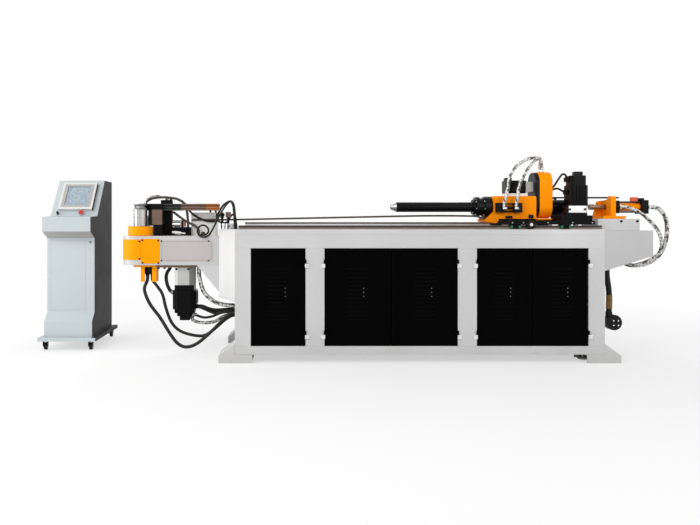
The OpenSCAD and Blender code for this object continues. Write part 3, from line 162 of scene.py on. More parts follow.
class Finish:
    """Builds one procedural material on object coordinates, or on the piece's own UV map."""

    def __init__(self, name, rough, metal=0.0, coat=0.0, gloss=0.5):
        self.material = bpy.data.materials.new(name)
        self.material.use_nodes = True
        self.tree = self.material.node_tree
        self.shader = self.tree.nodes["Principled BSDF"]
        self.shader.inputs["Roughness"].default_value = rough
        self.shader.inputs["Metallic"].default_value = metal
        self.shader.inputs["Coat Weight"].default_value = coat
        self.shader.inputs["Coat Roughness"].default_value = 0.18
        self.shader.inputs["Specular IOR Level"].default_value = gloss
        self.place = self.tree.nodes.new("ShaderNodeTexCoord")
        self.height = None

    def node(self, kind, **values):
        made = self.tree.nodes.new(kind)
        for key, value in values.items():
            if hasattr(made, key):
                setattr(made, key, value)
            else:
                made.inputs[key.replace("_", " ")].default_value = value
        return made

    def link(self, out, into):
        self.tree.links.new(out, into)

    def stretched(self, scale, uv=False):
        mapping = self.node("ShaderNodeMapping")
        mapping.inputs["Scale"].default_value = scale
        self.link(self.place.outputs["UV" if uv else "Object"], mapping.inputs["Vector"])
        return mapping.outputs["Vector"]

    def noise(self, scale, detail=4.0, stretch=(1, 1, 1), uv=False, rough=0.55):
        made = self.node("ShaderNodeTexNoise", Scale=scale, Detail=detail, Roughness=rough)
        self.link(self.stretched(stretch, uv), made.inputs["Vector"])
        return made.outputs["Fac"]

    def ramp(self, fac, stops, smooth=True):
        made = self.node("ShaderNodeValToRGB")
        made.color_ramp.interpolation = "LINEAR" if smooth else "CONSTANT"
        cells = made.color_ramp.elements
        while len(cells) < len(stops):
            cells.new(0.5)
        for cell, (position, colour) in zip(cells, stops):
            cell.position = position
            cell.color = tuple(colour[:3]) + (1.0,)
        self.link(fac, made.inputs["Fac"])
        return made.outputs["Color"]

    def blend(self, fac, first, second):
        made = self.node("ShaderNodeMix", data_type="RGBA")
        for value, socket in ((fac, made.inputs[0]), (first, made.inputs[6]), (second, made.inputs[7])):
            if isinstance(value, (int, float)):
                socket.default_value = value
            elif isinstance(value, (tuple, list)):
                socket.default_value = tuple(value[:3]) + (1.0,)
            else:
                self.link(value, socket)
        return made.outputs[2]

    def maths(self, operation, first, second=0.0):
        made = self.node("ShaderNodeMath", operation=operation)
        for value, socket in ((first, made.inputs[0]), (second, made.inputs[1])):
            if isinstance(value, (int, float)):
                socket.default_value = value
            else:
                self.link(value, socket)
        return made.outputs[0]

    def separate(self, uv=False):
        made = self.node("ShaderNodeSeparateXYZ")
        self.link(self.place.outputs["UV" if uv else "Object"], made.inputs[0])
        return made.outputs

    def colour(self, out):
        self.link(out, self.shader.inputs["Base Color"])

    def roughness(self, fac, low, high):
        made = self.node("ShaderNodeMapRange")
        made.inputs["To Min"].default_value = low
        made.inputs["To Max"].default_value = high
        self.link(fac, made.inputs["Value"])
        self.link(made.outputs[0], self.shader.inputs["Roughness"])

    def bump(self, fac, depth, strength=0.5):
        made = self.node("ShaderNodeBump")
        made.inputs["Strength"].default_value = strength
        made.inputs["Distance"].default_value = depth
        self.link(fac, made.inputs["Height"])
        if self.height:
            self.link(self.height, made.inputs["Normal"])
        self.height = made.outputs["Normal"]
        self.link(self.height, self.shader.inputs["Normal"])


def tint(colour, factor):
    """A colour made lighter or darker."""
    return tuple(min(1.0, channel * factor) for channel in colour)


def painted(name, colour, rough=0.42, coat=0.15, spread=0.05, peel=0.00012, dust=0.0, gloss=0.5):
    """Sprayed paint: a fine orange peel, slow colour drift, and dust that settles low."""
    f = Finish(name, rough, coat=coat, gloss=gloss)
    slow = f.noise(1.7, 3.0)
    base = f.ramp(slow, [(0.3, tint(colour, 1.0 - spread)), (0.7, tint(colour, 1.0 + spread))])
    fine = f.noise(46.0, 5.0)
    base = f.blend(f.maths("MULTIPLY", fine, 0.10), base, tint(colour, 0.82))
    if dust:
        high = f.maths("MULTIPLY", f.separate()[2], -7.0)
        low = f.maths("MULTIPLY", f.maths("MAXIMUM", f.maths("ADD", high, 1.0), 0.0), f.noise(9.0, 6.0))
        base = f.blend(f.maths("MULTIPLY", low, dust), base, (0.30, 0.27, 0.23))
    f.colour(base)
    f.roughness(f.noise(6.0, 4.0), rough - 0.07, rough + 0.09)
    f.bump(f.noise(420.0, 2.0), peel)
    return f.material


def brushed(name, colour, rough=0.30, grain=(1, 1, 40), depth=0.00008, spread=0.12, metal=1.0):
    """Ground or brushed metal with its marks along one way."""
    f = Finish(name, rough, metal=metal)
    marks = f.noise(26.0, 6.0, stretch=grain)
    f.colour(f.ramp(marks, [(0.3, tint(colour, 1.0 - spread)), (0.7, tint(colour, 1.0 + spread))]))
    f.roughness(f.noise(14.0, 4.0, stretch=grain), rough - 0.08, rough + 0.12)
    f.bump(marks, depth, 0.35)
    return f.material


def moulded(name, colour, rough=0.5, grain=900.0, depth=0.0001, spread=0.10, gloss=0.5):
    """Rubber or plastic with a fine grain."""
    f = Finish(name, rough, gloss=gloss)
    base = f.ramp(f.noise(7.0, 4.0), [(0.3, tint(colour, 1.0 - spread)), (0.7, tint(colour, 1.0 + spread))])
    f.colour(base)
    f.roughness(f.noise(18.0, 3.0), rough - 0.08, rough + 0.08)
    f.bump(f.noise(grain, 2.0), depth)
    return f.material


def wrapped_film(name, light, dark, turns):
    """Clear film wound over dark hoses along the tube's UV map: pale bands with painted shade in the creases
    between turns, long dark streaks, and pale streaks of painted highlight.
    """
    f = Finish(name, 0.24, coat=0.3)
    axes = f.separate(uv=True)
    phase = f.maths("FRACT", f.maths("ADD", f.maths("MULTIPLY", axes[1], turns), axes[0]))
    # Each turn's band darkens towards its edges: painted shade in the creases between turns.
    film = f.ramp(phase, [
        (0.0, tint(light, 0.55)), (0.12, light), (0.70, tint(light, 0.84)), (0.90, tint(light, 0.45))])
    streaks = f.noise(1.0, 4.0, stretch=(4, 16, 1), uv=True)
    seen = f.ramp(streaks, [(0.48, (0, 0, 0)), (0.54, (1, 1, 1))])
    film = f.blend(seen, film, dark)
    # Pale streaks of near white over the film: painted highlight on the clear wrap.
    painted_glints = f.ramp(f.noise(1.0, 3.0, stretch=(9, 40, 1), uv=True), [(0.60, (0, 0, 0)), (0.68, (1, 1, 1))])
    f.colour(f.blend(painted_glints, film, (0.92, 0.92, 0.92)))
    f.bump(phase, 0.0005, 0.3)
    return f.material


def hose_cover(name, colour, turns):
    """Rubber hose with the faint print of its braid."""
    f = Finish(name, 0.40, gloss=0.25)
    axes = f.separate(uv=True)
    along = f.maths("MULTIPLY", axes[1], turns)
    crossing = 2 * math.tau
    strands = []
    for way in ("ADD", "SUBTRACT"):
        strands.append(f.maths("SINE", f.maths("MULTIPLY", f.maths(way, along, axes[0]), crossing)))
    worn = f.noise(4.0, 3.0, stretch=(1, 9, 1), uv=True)
    f.colour(f.ramp(worn, [(0.3, tint(colour, 0.7)), (0.7, tint(colour, 1.4))]))
    f.bump(f.maths("MULTIPLY", strands[0], strands[1]), 0.0004, 0.4)
    return f.material


def screen_glass():
    """Dark glass with a pale, mottled reflection painted into its colour, and a faint glow of that painted
    reflection.
    """
    f = Finish("screen_glass", 0.12, coat=0.8)
    painted_reflection = f.noise(60.0, 5.0, rough=0.75)
    base = f.ramp(painted_reflection, [(0.36, (0.18, 0.24, 0.30)), (0.50, (0.28, 0.35, 0.41)), (0.66, (0.44, 0.51, 0.56))])
    f.colour(base)
    # The painted reflection also glows faintly, though the screen is no lamp.
    f.shader.inputs["Emission Strength"].default_value = 0.06
    f.link(base, f.shader.inputs["Emission Color"])
    return f.material


def knurled():
    """Black holder with rows of small dimples."""
    f = Finish("knurled_black", 0.55, gloss=0.3)
    dots = f.node("ShaderNodeTexVoronoi", Scale=110.0, Randomness=0.0)
    f.link(f.place.outputs["Object"], dots.inputs["Vector"])
    f.colour(f.ramp(dots.outputs["Distance"], [(0.12, (0.06, 0.065, 0.06)), (0.40, (0.016, 0.018, 0.016))]))
    f.bump(dots.outputs["Distance"], 0.0008, 0.6)
    return f.material


def paints(c):
    """How each sprayed finish is made, by its plain name."""
    grey, orange, desk = tuple(c.cabinet), tuple(c.orange), tuple(c.console)
    deep_orange = (orange[0], orange[1] * 0.82, 0.0)
    casting = {"rough": 0.40, "coat": 0.0, "spread": 0.07}
    return {
        "cabinet": lambda: painted("cabinet_paint", grey, dust=0.45),
        # A darker copy of the cabinet grey for the head housing: painted shade.
        "head": lambda: painted("head_paint_shaded", tint(grey, 0.91)),
        # A lighter copy of the cabinet grey for the angled left wall: painted light.
        "wall": lambda: painted("wall_paint_lit", tint(grey, 1.22)),
        # A darker copy of the cabinet grey for the tail box and the hydraulic unit: painted shade.
        "tail": lambda: painted("tail_paint_shaded", tint(grey, 0.97)),
        "cream": lambda: painted("cream_paint", (0.86, 0.82, 0.72), rough=0.38),
        "pale": lambda: painted("pale_paint", (0.80, 0.80, 0.79)),
        "orange": lambda: painted("orange_paint", orange, gloss=0.07, **casting),
        "deep_orange": lambda: painted("deep_orange_paint", deep_orange, gloss=0.05, **casting),
        "door": lambda: painted(
            "door_paint", (0.0016, 0.0016, 0.0018), rough=0.62, coat=0.0, spread=0.2, gloss=0.01),
        "louvre": lambda: painted("louvre_paint", (0.002, 0.0015, 0.0015), rough=0.55, coat=0.0, gloss=0.03),
        "duct": lambda: painted("duct_plastic", (0.86, 0.86, 0.85)),
        "trim": lambda: painted("trim_grey", (0.055, 0.05, 0.048), rough=0.45, coat=0.0, gloss=0.3),
        "gear": lambda: painted("gear_grey", (0.38, 0.375, 0.36), rough=0.40),
        "shade": lambda: painted("shade_paint", (0.36, 0.35, 0.34), rough=0.5),
        "black": lambda: painted(
            "black_paint", (0.0025, 0.0025, 0.0028), rough=0.28, coat=0.0, spread=0.2, gloss=0.13),
        "cast_black": lambda: painted(
            "cast_black", (0.003, 0.003, 0.003), rough=0.50, coat=0.0, spread=0.3, peel=0.0005, gloss=0.08),
        "motor": lambda: painted(
            "motor_black", (0.0015, 0.0015, 0.0018), rough=0.22, coat=0.0, spread=0.25, gloss=0.10),
        "console": lambda: painted("console_paint", desk, rough=0.46, spread=0.03),
        "console_line": lambda: painted("console_line", tint(desk, 0.82), rough=0.5),
        "console_side": lambda: painted(
            "console_side_paint", (0.027, 0.027, 0.027), rough=0.48, coat=0.0, spread=0.25, gloss=0.08),
        "plate": lambda: painted("plate_paint", (0.47, 0.44, 0.425), rough=0.30, coat=0.3, spread=0.06),
        "plate_line": lambda: painted("plate_line", (0.25, 0.19, 0.17), rough=0.40),
    }


def metals(c):
    """How each metal finish is made, by its plain name; the marks run along, across or round the piece."""
    along, bar, disc = (0.5, 30, 30), (0.5, 24, 24), (1, 1, 60)
    rail = (0.4, 30, 30)
    upright = (40, 40, 1)
    return {
        "collet": lambda: brushed("collet_steel", (0.40, 0.40, 0.40), rough=0.30, grain=disc, spread=0.2),
        "rail": lambda: brushed(
            "rail_steel", tuple(c.rail), rough=0.34, grain=rail, spread=0.35, metal=0.75),
        # Lighter copies of the rail steel for the near rail's lower flank and the far rail: painted light.
        "rail_low_lit": lambda: brushed(
            "rail_flank_lit", (0.22, 0.18, 0.15), rough=0.40, grain=rail, spread=0.3, metal=0.6),
        "rail_far_lit": lambda: brushed(
            "far_rail_steel_lit", (0.27, 0.25, 0.235), rough=0.36, grain=rail, spread=0.3, metal=0.6),
        "steel": lambda: brushed("brushed_steel", (0.62, 0.62, 0.63), grain=(1, 1, 30)),
        "bright": lambda: brushed("turned_steel", (0.80, 0.80, 0.80), rough=0.22, grain=disc, spread=0.06),
        "grey_steel": lambda: brushed(
            "grey_steel", (0.25, 0.25, 0.25), rough=0.42, grain=(1, 1, 20), metal=0.8),
        "rod": lambda: brushed(
            "oiled_rod", (0.22, 0.15, 0.09), rough=0.30, grain=along, spread=0.4, metal=0.7),
        "die": lambda: brushed("ground_die", (0.50, 0.49, 0.48), rough=0.24, grain=disc, spread=0.1),
        "flange": lambda: brushed(
            "flange_aluminium", (0.70, 0.70, 0.69), rough=0.36, grain=upright, spread=0.05, metal=0.7),
        "flange_dim": lambda: brushed(
            "dull_aluminium", (0.47, 0.47, 0.465), rough=0.42, grain=upright, spread=0.08, metal=0.6),
        # A darker copy of the dull aluminium for the gearbox's right end: painted shade.
        "flange_shaded": lambda: brushed(
            "shaded_aluminium", (0.15, 0.155, 0.13), rough=0.42, grain=upright, spread=0.15, metal=0.5),
        "brown": lambda: brushed(
            "brown_steel", (0.155, 0.098, 0.075), rough=0.46, grain=bar, spread=0.45, metal=0.5),
        "copper": lambda: brushed(
            "copper_bar", (0.34, 0.125, 0.04), rough=0.40, grain=bar, spread=0.6, metal=0.5),
        "bronze": lambda: brushed(
            "bronze_plate", (0.20, 0.125, 0.09), rough=0.46, grain=bar, spread=0.3, metal=0.6),
    }


def plastics():
    """How each rubber, plastic, glass and hose finish is made, by its plain name."""
    return {
        "knurled": knurled,
        "screen": screen_glass,
        "rubber": lambda: moulded("black_rubber", (0.006, 0.006, 0.006), rough=0.60, gloss=0.15),
        "plastic": lambda: moulded("black_plastic", (0.005, 0.005, 0.0055), rough=0.34, gloss=0.2),
        "green": lambda: moulded("green_plastic", (0.0, 0.13, 0.065), rough=0.36),
        "red": lambda: moulded("red_plastic", (0.62, 0.02, 0.012), rough=0.25),
        "red_cap": lambda: moulded("red_cap", (0.72, 0.09, 0.03), rough=0.42),
        "wrap": lambda: wrapped_film(
            "clear_wrap", (0.74, 0.73, 0.70), (0.020, 0.014, 0.011), 1.0 / sizes().wrap_pitch),
        "hose": lambda: hose_cover("hose_rubber", (0.010, 0.008, 0.007), 40.0),
        "brown_sleeve": lambda: hose_cover("brown_sleeve", (0.19, 0.105, 0.035), 60.0),
        "cable": lambda: hose_cover("cable_sheath", (0.004, 0.004, 0.004), 12.0),
        "oily": lambda: hose_cover("oily_hose", (0.07, 0.055, 0.045), 40.0),
    }


def finish(name):
    """One material by its plain name, made when first asked for."""
    if name not in MADE:
        makers = {**paints(colours()), **metals(colours()), **plastics()}
        MADE[name] = makers[name]()
    return MADE[name]


# Modelling helpers


def deselect():
    if bpy.context.object and bpy.context.object.mode != "OBJECT":
        bpy.ops.object.mode_set(mode="OBJECT")
    bpy.ops.object.select_all(action="DESELECT")


def active():
    return bpy.context.view_layer.objects.active


def only(piece):
    """Selects one piece and nothing else."""
    deselect()
    piece.select_set(True)
    bpy.context.view_layer.objects.active = piece


def fixed(piece):
    """Applies a piece's place, turn and scale to its mesh."""
    only(piece)
    bpy.ops.object.transform_apply(location=True, rotation=True, scale=True)
    return piece


def smoothed(piece, degrees=35):
    """Smooth shading that keeps large faces flat beside their rounded edges."""
    only(piece)
    bpy.ops.object.shade_smooth_by_angle(angle=math.radians(degrees))
    weights = piece.modifiers.new("weights", "WEIGHTED_NORMAL")
    weights.keep_sharp = True
    weights.weight = 80
    bpy.ops.object.modifier_apply(modifier=weights.name)
    return piece


def coated(piece, material):
    """Gives a piece one finish."""
    piece.data.materials.clear()
    piece.data.materials.append(finish(material))
    return piece


def rounded(piece, width):
    """Rounds the sharp edges with an applied bevel."""
    only(piece)
    bevel = piece.modifiers.new("edges", "BEVEL")
    bevel.width = width
    bevel.segments = 2
    bevel.limit_method = "ANGLE"
    bevel.angle_limit = math.radians(30)
    bevel.use_clamp_overlap = False
    bevel.miter_outer = "MITER_ARC"
    bpy.ops.object.modifier_apply(modifier=bevel.name)
    return piece


def slab(low, high, edge):
    """A block between two corners with its edges rounded."""
    low, high = Vector(low), Vector(high)
    deselect()
    bpy.ops.mesh.primitive_cube_add(size=1, location=(low + high) / 2)
    piece = active()
    piece.scale = high - low
    fixed(piece)
    if edge:
        bpy.ops.object.mode_set(mode="EDIT")
        bpy.ops.mesh.select_all(action="SELECT")
        bpy.ops.mesh.bevel(offset=edge, segments=2, affect="EDGES")
        bpy.ops.object.mode_set(mode="OBJECT")
    return smoothed(piece)


def stood(piece, at, axis):
    """Turns a piece, made upright at the origin, to its axis and moves it to its place."""
    piece.rotation_mode = "QUATERNION"
    piece.rotation_quaternion = Vector(UP).rotation_difference(Vector(axis))
    piece.location = at
    return smoothed(fixed(piece))


def turned(at, axis, stages, sides):
    """A turned shape: each stage is a step along the axis and the radius it ends on."""
    deselect()
    radius, z = stages[0][1], stages[0][0]
    bpy.ops.mesh.primitive_circle_add(vertices=sides, radius=radius, fill_type="NGON", location=(0, 0, z))
    piece = fixed(active())
    bpy.ops.object.mode_set(mode="EDIT")
    bpy.ops.mesh.select_all(action="SELECT")
    for place, wide in stages[1:]:
        bpy.ops.mesh.extrude_region_move(TRANSFORM_OT_translate={"value": (0, 0, place - z)})
        if abs(wide - radius) > 1e-9:
            k = wide / radius
            bpy.ops.transform.resize(value=(k, k, 1), center_override=(0, 0, place))
        radius, z = wide, place
    bpy.ops.mesh.select_all(action="SELECT")
    bpy.ops.mesh.normals_make_consistent(inside=False)
    bpy.ops.object.mode_set(mode="OBJECT")
    return stood(piece, at, axis)


def screw(at, axis, radius, height):
    """A socket head screw with a chamfered rim and a round socket, half as deep as the head is high."""
    chamfer, rim, socket = height * 0.82, radius * 0.86, radius * 0.52
    piece = turned((0, 0, 0), UP, [(0, radius), (chamfer, radius), (height, rim), (height, socket)], sides=18)
    only(piece)
    bpy.ops.object.mode_set(mode="EDIT")
    bpy.ops.mesh.select_all(action="DESELECT")
    shape = bmesh.from_edit_mesh(piece.data)
    for face in shape.faces:
        face.select = face.calc_center_median().z > height * 0.99 and len(face.verts) > 8
    bmesh.update_edit_mesh(piece.data)
    bpy.ops.mesh.extrude_region_move(TRANSFORM_OT_translate={"value": (0, 0, -height * 0.5)})
    bpy.ops.object.mode_set(mode="OBJECT")
    return stood(piece, at, axis)


def repeated(piece, offsets):
    """Copies of a piece, each with its own mesh, moved by the offsets and joined with it."""
    made = [piece]
    for offset in offsets:
        only(piece)
        bpy.ops.object.duplicate(linked=False)
        copy = active()
        copy.location = Vector(offset)
        fixed(copy)
        made.append(copy)
    return joined(made)


def joined(parts):
    """Several objects as one."""
    deselect()
    for item in parts:
        item.select_set(True)
    bpy.context.view_layer.objects.active = parts[0]
    if len(parts) > 1:
        bpy.ops.object.join()
    return active()


def placed(piece, name, body):
    """Names a finished piece and lets it ride on its body."""
    piece.name = name
    piece.data.name = name
    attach(piece, body)
    return piece


def weld(piece):
    """Joins the loose triangles of a CAD node's copy and merges those that lie in one plane."""
    only(piece)
    bpy.ops.object.mode_set(mode="EDIT")
    bpy.ops.mesh.select_all(action="SELECT")
    bpy.ops.mesh.remove_doubles(threshold=0.00001)
    bpy.ops.mesh.dissolve_limited(angle_limit=math.radians(0.6))
    bpy.ops.object.mode_set(mode="OBJECT")


def cut(piece, axis, place):
    """Splits the faces of a piece along a plane across an axis, so that each side can have its own finish."""
    only(piece)
    bpy.ops.object.mode_set(mode="EDIT")
    bpy.ops.mesh.select_all(action="SELECT")
    across = tuple(1.0 if letter == axis else 0.0 for letter in "xyz")
    bpy.ops.mesh.bisect(plane_co=(place, place, place), plane_no=across)
    bpy.ops.object.mode_set(mode="OBJECT")


def dressed(node, material, edge=None, regions=(), cuts=()):
    """A welded copy of a CAD node with rounded edges; regions give other finishes by a test on each face."""
    deselect()
    source = NODES[node]
    source.hide_viewport = False
    source.select_set(True)
    bpy.context.view_layer.objects.active = source
    bpy.ops.object.duplicate(linked=False)
    piece = active()
    for key in list(piece.keys()):
        del piece[key]
    bpy.ops.object.parent_clear(type="CLEAR_KEEP_TRANSFORM")
    if piece.data.has_custom_normals:
        bpy.ops.mesh.customdata_custom_splitnormals_clear()
    weld(piece)
    for axis, place in cuts:
        cut(piece, axis, place)
    coated(piece, material)
    for other, test in regions:
        piece.data.materials.append(finish(other))
    for face in piece.data.polygons:
        for index, (other, test) in enumerate(regions):
            if test(face.center, face.normal):
                face.material_index = index + 1
                break
    edge = sizes().edge if edge is None else edge
    if edge:
        rounded(piece, edge)
    smoothed(piece)
    placed(piece, node + "_skin", BODY_OF[node])
    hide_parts(node)
    return piece


def bolts(name, body, skin, points, axis, radius, height):
    """Socket head screws of one size at several points."""
    first = Vector(points[0])
    piece = screw(first, axis, radius, height)
    if len(points) > 1:
        piece = repeated(piece, [Vector(point) - first for point in points[1:]])
    return placed(coated(piece, skin), name, body)


def blocks(name, body, skin, boxes, edge=0.001):
    """Small rounded blocks joined into one piece."""
    shapes = [slab(low, high, edge) for low, high in boxes]
    return placed(coated(joined(shapes), skin), name, body)


def turnings(name, body, skin, rows, sides=24):
    """Turned shapes joined into one piece; each row is a place, an axis and the stages."""
    shapes = [turned(at, axis, stages, sides) for at, axis, stages in rows]
    return placed(coated(joined(shapes), skin), name, body)


def board(low, high, y, thick, radius):
    """A thin board on the head's side with its two right corners rounded."""
    deselect()
    middle = ((low[0] + high[0]) / 2, y, (low[1] + high[1]) / 2)
    bpy.ops.mesh.primitive_plane_add(size=1, location=middle, rotation=(math.radians(90), 0, 0))
    piece = active()
    piece.scale = (high[0] - low[0], high[1] - low[1], 1)
    fixed(piece)
    bpy.ops.object.mode_set(mode="EDIT")
    bpy.ops.mesh.select_mode(type="VERT")
    bpy.ops.mesh.select_all(action="DESELECT")
    shape = bmesh.from_edit_mesh(piece.data)
    for vert in shape.verts:
        vert.select = vert.co.x > middle[0]
    bmesh.update_edit_mesh(piece.data)
    bpy.ops.mesh.bevel(offset=radius, segments=8, affect="VERTICES")
    bpy.ops.mesh.select_all(action="SELECT")
    bpy.ops.mesh.extrude_region_move(TRANSFORM_OT_translate={"value": (0, -thick, 0)})
    bpy.ops.mesh.select_all(action="SELECT")
    bpy.ops.mesh.normals_make_consistent(inside=False)
    bpy.ops.object.mode_set(mode="OBJECT")
    return smoothed(piece)


def metres(place):
    """A point of a route, which is in millimetres, in metres."""
    return Vector(place) * MM


def spline(points, steps):
    """The smooth curve that the frame's hoses follow, through a route's points."""
    p = [metres(q) for q in points]
    made = []
    for i in range(len(p) - 1):
        a, b, c, d = p[max(i - 1, 0)], p[i], p[i + 1], p[min(i + 2, len(p) - 1)]
        slope, bend, twist = c - a, 2 * a - 5 * b + 4 * c - d, 3 * b - a - 3 * c + d
        for s in range(steps):
            t = s / steps
            made.append(0.5 * (2 * b + slope * t + bend * t * t + twist * t ** 3))
    made.append(p[-1])
    return made


def length_of(path):
    return sum((b - a).length for a, b in zip(path, path[1:]))


def resampled(path, step):
    """The same path with points at even distances."""
    total = length_of(path)
    count = max(8, round(total / step))
    made, index, gone = [], 0, 0.0
    for k in range(count + 1):
        want = total * k / count
        while index < len(path) - 2 and gone + (path[index + 1] - path[index]).length < want:
            gone += (path[index + 1] - path[index]).length
            index += 1
        piece = path[index + 1] - path[index]
        made.append(path[index] + piece * min(1.0, (want - gone) / max(piece.length, 1e-9)))
    return made


# Length over which a spiral wrap grows to its full ridge
RIDGE_START = 0.02
# A direction that no hose starts in, from which the first ring of a tube is turned
REFERENCE = Vector((0.31, 0.95, 0.08))


def tube(name, path, radius, sides=14, ridge=0.0, pitch=0.03):
    """A tube along a path, with a UV map round and along it; ridge makes it swell in a spiral."""
    verts, faces, loops_uv = [], [], []
    total = 0.0
    ahead = (path[1] - path[0]).normalized()
    side = ahead.cross(REFERENCE).normalized()
    marks = []
    for i, point in enumerate(path):
        along = (path[min(i + 1, len(path) - 1)] - path[max(i - 1, 0)]).normalized()
        side = (side - along * side.dot(along)).normalized()
        up = along.cross(side)
        if i:
            total += (point - path[i - 1]).length
        marks.append(total)
        for k in range(sides):
            turn = math.tau * k / sides
            fade = min(1.0, total / RIDGE_START)
            swell = 1.0 + ridge * fade * (math.sin(math.tau * (total / pitch) + turn) - 1.0)
            verts.append(point + (side * math.cos(turn) + up * math.sin(turn)) * radius * swell)
    rings = len(path)
    for i in range(rings - 1):
        for k in range(sides):
            n = (k + 1) % sides
            faces.append((i * sides + k, i * sides + n, (i + 1) * sides + n, (i + 1) * sides + k))
            left, right, low, high = k / sides, (k + 1) / sides, marks[i], marks[i + 1]
            loops_uv.append([(left, low), (right, low), (right, high), (left, high)])
    faces.append(tuple(reversed(range(sides))))
    loops_uv.append([(0.5, 0.0)] * sides)
    faces.append(tuple(range((rings - 1) * sides, rings * sides)))
    loops_uv.append([(0.5, marks[-1])] * sides)
    mesh = bpy.data.meshes.new(name)
    mesh.from_pydata(verts, [], faces)
    layer = mesh.uv_layers.new(name="UVMap")
    index = 0
    for corners in loops_uv:
        for uv in corners:
            layer.data[index].uv = uv
            index += 1
    piece = bpy.data.objects.new(name, mesh)
    bpy.context.scene.collection.objects.link(piece)
    only(piece)
    bpy.ops.object.mode_set(mode="EDIT")
    bpy.ops.mesh.select_all(action="SELECT")
    bpy.ops.mesh.normals_make_consistent(inside=False)
    bpy.ops.object.mode_set(mode="OBJECT")
    return smoothed(piece, 50)


# The cords, laid through the same round points as in the frame, in millimetres

# Top of the belt cover's hose ports
PORT_X, PORT_Z = 1154, 1536
ROUTES = {
    "head_hose_outer": [
        (-2190, -110, 641), (-2192, -111, 600), (-2215, -116, 525), (-2170, -124, 410), (-2080, -130, 290),
        (-1995, -134, 155), (-1930, -136, 75), (-1857, -136, 48), (-1767, -134, 80), (-1655, -132, 175),
        (-1558, -130, 272), (-1490, -130, 328), (-1445, -130, 335)],
    "head_hose_inner": [
        (-2156, -80, 641), (-2154, -80, 600), (-2115, -81, 550), (-2070, -82, 480), (-2040, -84, 363),
        (-1992, -85, 243), (-1917, -86, 172), (-1804, -86, 137), (-1715, -86, 137), (-1632, -85, 190),
        (-1550, -85, 262), (-1490, -85, 300), (-1445, -85, 305)],
    "head_hose_wrapped": [
        (-1760, -100, 713), (-1760, -100, 665), (-1752, -100, 605), (-1716, -102, 499), (-1632, -106, 424),
        (-1540, -110, 396), (-1445, -110, 392)],
    "bend_motor_cable": [
        (-1771, -57, 378), (-1735, -57, 376), (-1680, -60, 355), (-1618, -62, 345), (-1540, -64, 350),
        (-1480, -65, 357), (-1445, -65, 358)],
    "chuck_hose_front": [
        (781, -169, 1216), (781, -169, 1262), (808, -166, 1360), (832, -152, 1476), (907, -122, 1567),
        (996, -88, 1616), (1073, -55, 1634), (1135, -22, 1622), (PORT_X, 0, PORT_Z + 22),
        (PORT_X, 0, PORT_Z)],
    "chuck_hose_rear": [
        (881, -169, 1216), (881, -169, 1262), (890, -168, 1309), (908, -160, 1392), (971, -122, 1503),
        (1034, -72, 1572), (1100, -12, 1621), (1153, 26, 1631), (PORT_X, 42, PORT_Z + 24),
        (PORT_X, 42, PORT_Z)],
    "tail_hose_front": [
        (1800, -70, 1218), (1850, -70, 1215), (1911, -72, 1194), (1977, -75, 1155), (2033, -80, 1102),
        (2078, -85, 1049), (2109, -88, 995), (2126, -90, 937), (2127, -90, 879), (2106, -90, 833),
        (2066, -90, 795), (2007, -90, 760), (1937, -90, 736), (1872, -90, 723), (1822, -90, 737),
        (1790, -90, 765)],
    "tail_hose_rear": [
        (2080, 0, 1218), (2110, 0, 1216), (2155, -2, 1202), (2196, -5, 1156), (2216, -8, 1092),
        (2221, -10, 1024), (2213, -12, 955), (2190, -14, 879), (2155, -16, 817), (2105, -18, 771),
        (2042, -20, 738), (1975, -22, 722), (1912, -24, 722), (1864, -25, 740), (1830, -25, 771)],
    "power_cable": [
        (1548, -330, 704), (1548, -330, 660), (1556, -330, 600), (1564, -330, 540), (1567, -330, 480),
        (1566, -330, 420), (1564, -330, 370)],
}
# Radius in metres, swell of the spiral wrap, and finish
HOSES = {
    "head_hose_outer": (0.014, 0.0, "hose"),
    "head_hose_inner": (0.013, 0.0, "hose"),
    "head_hose_wrapped": (0.018, 0.04, "wrap"),
    "bend_motor_cable": (0.016, 0.0, "cable"),
    "chuck_hose_front": (0.014, 0.04, "wrap"),
    "chuck_hose_rear": (0.014, 0.04, "wrap"),
    "tail_hose_front": (0.015, 0.04, "wrap"),
    "tail_hose_rear": (0.018, 0.04, "wrap"),
    "power_cable": (0.022, 0.0, "cable"),
}
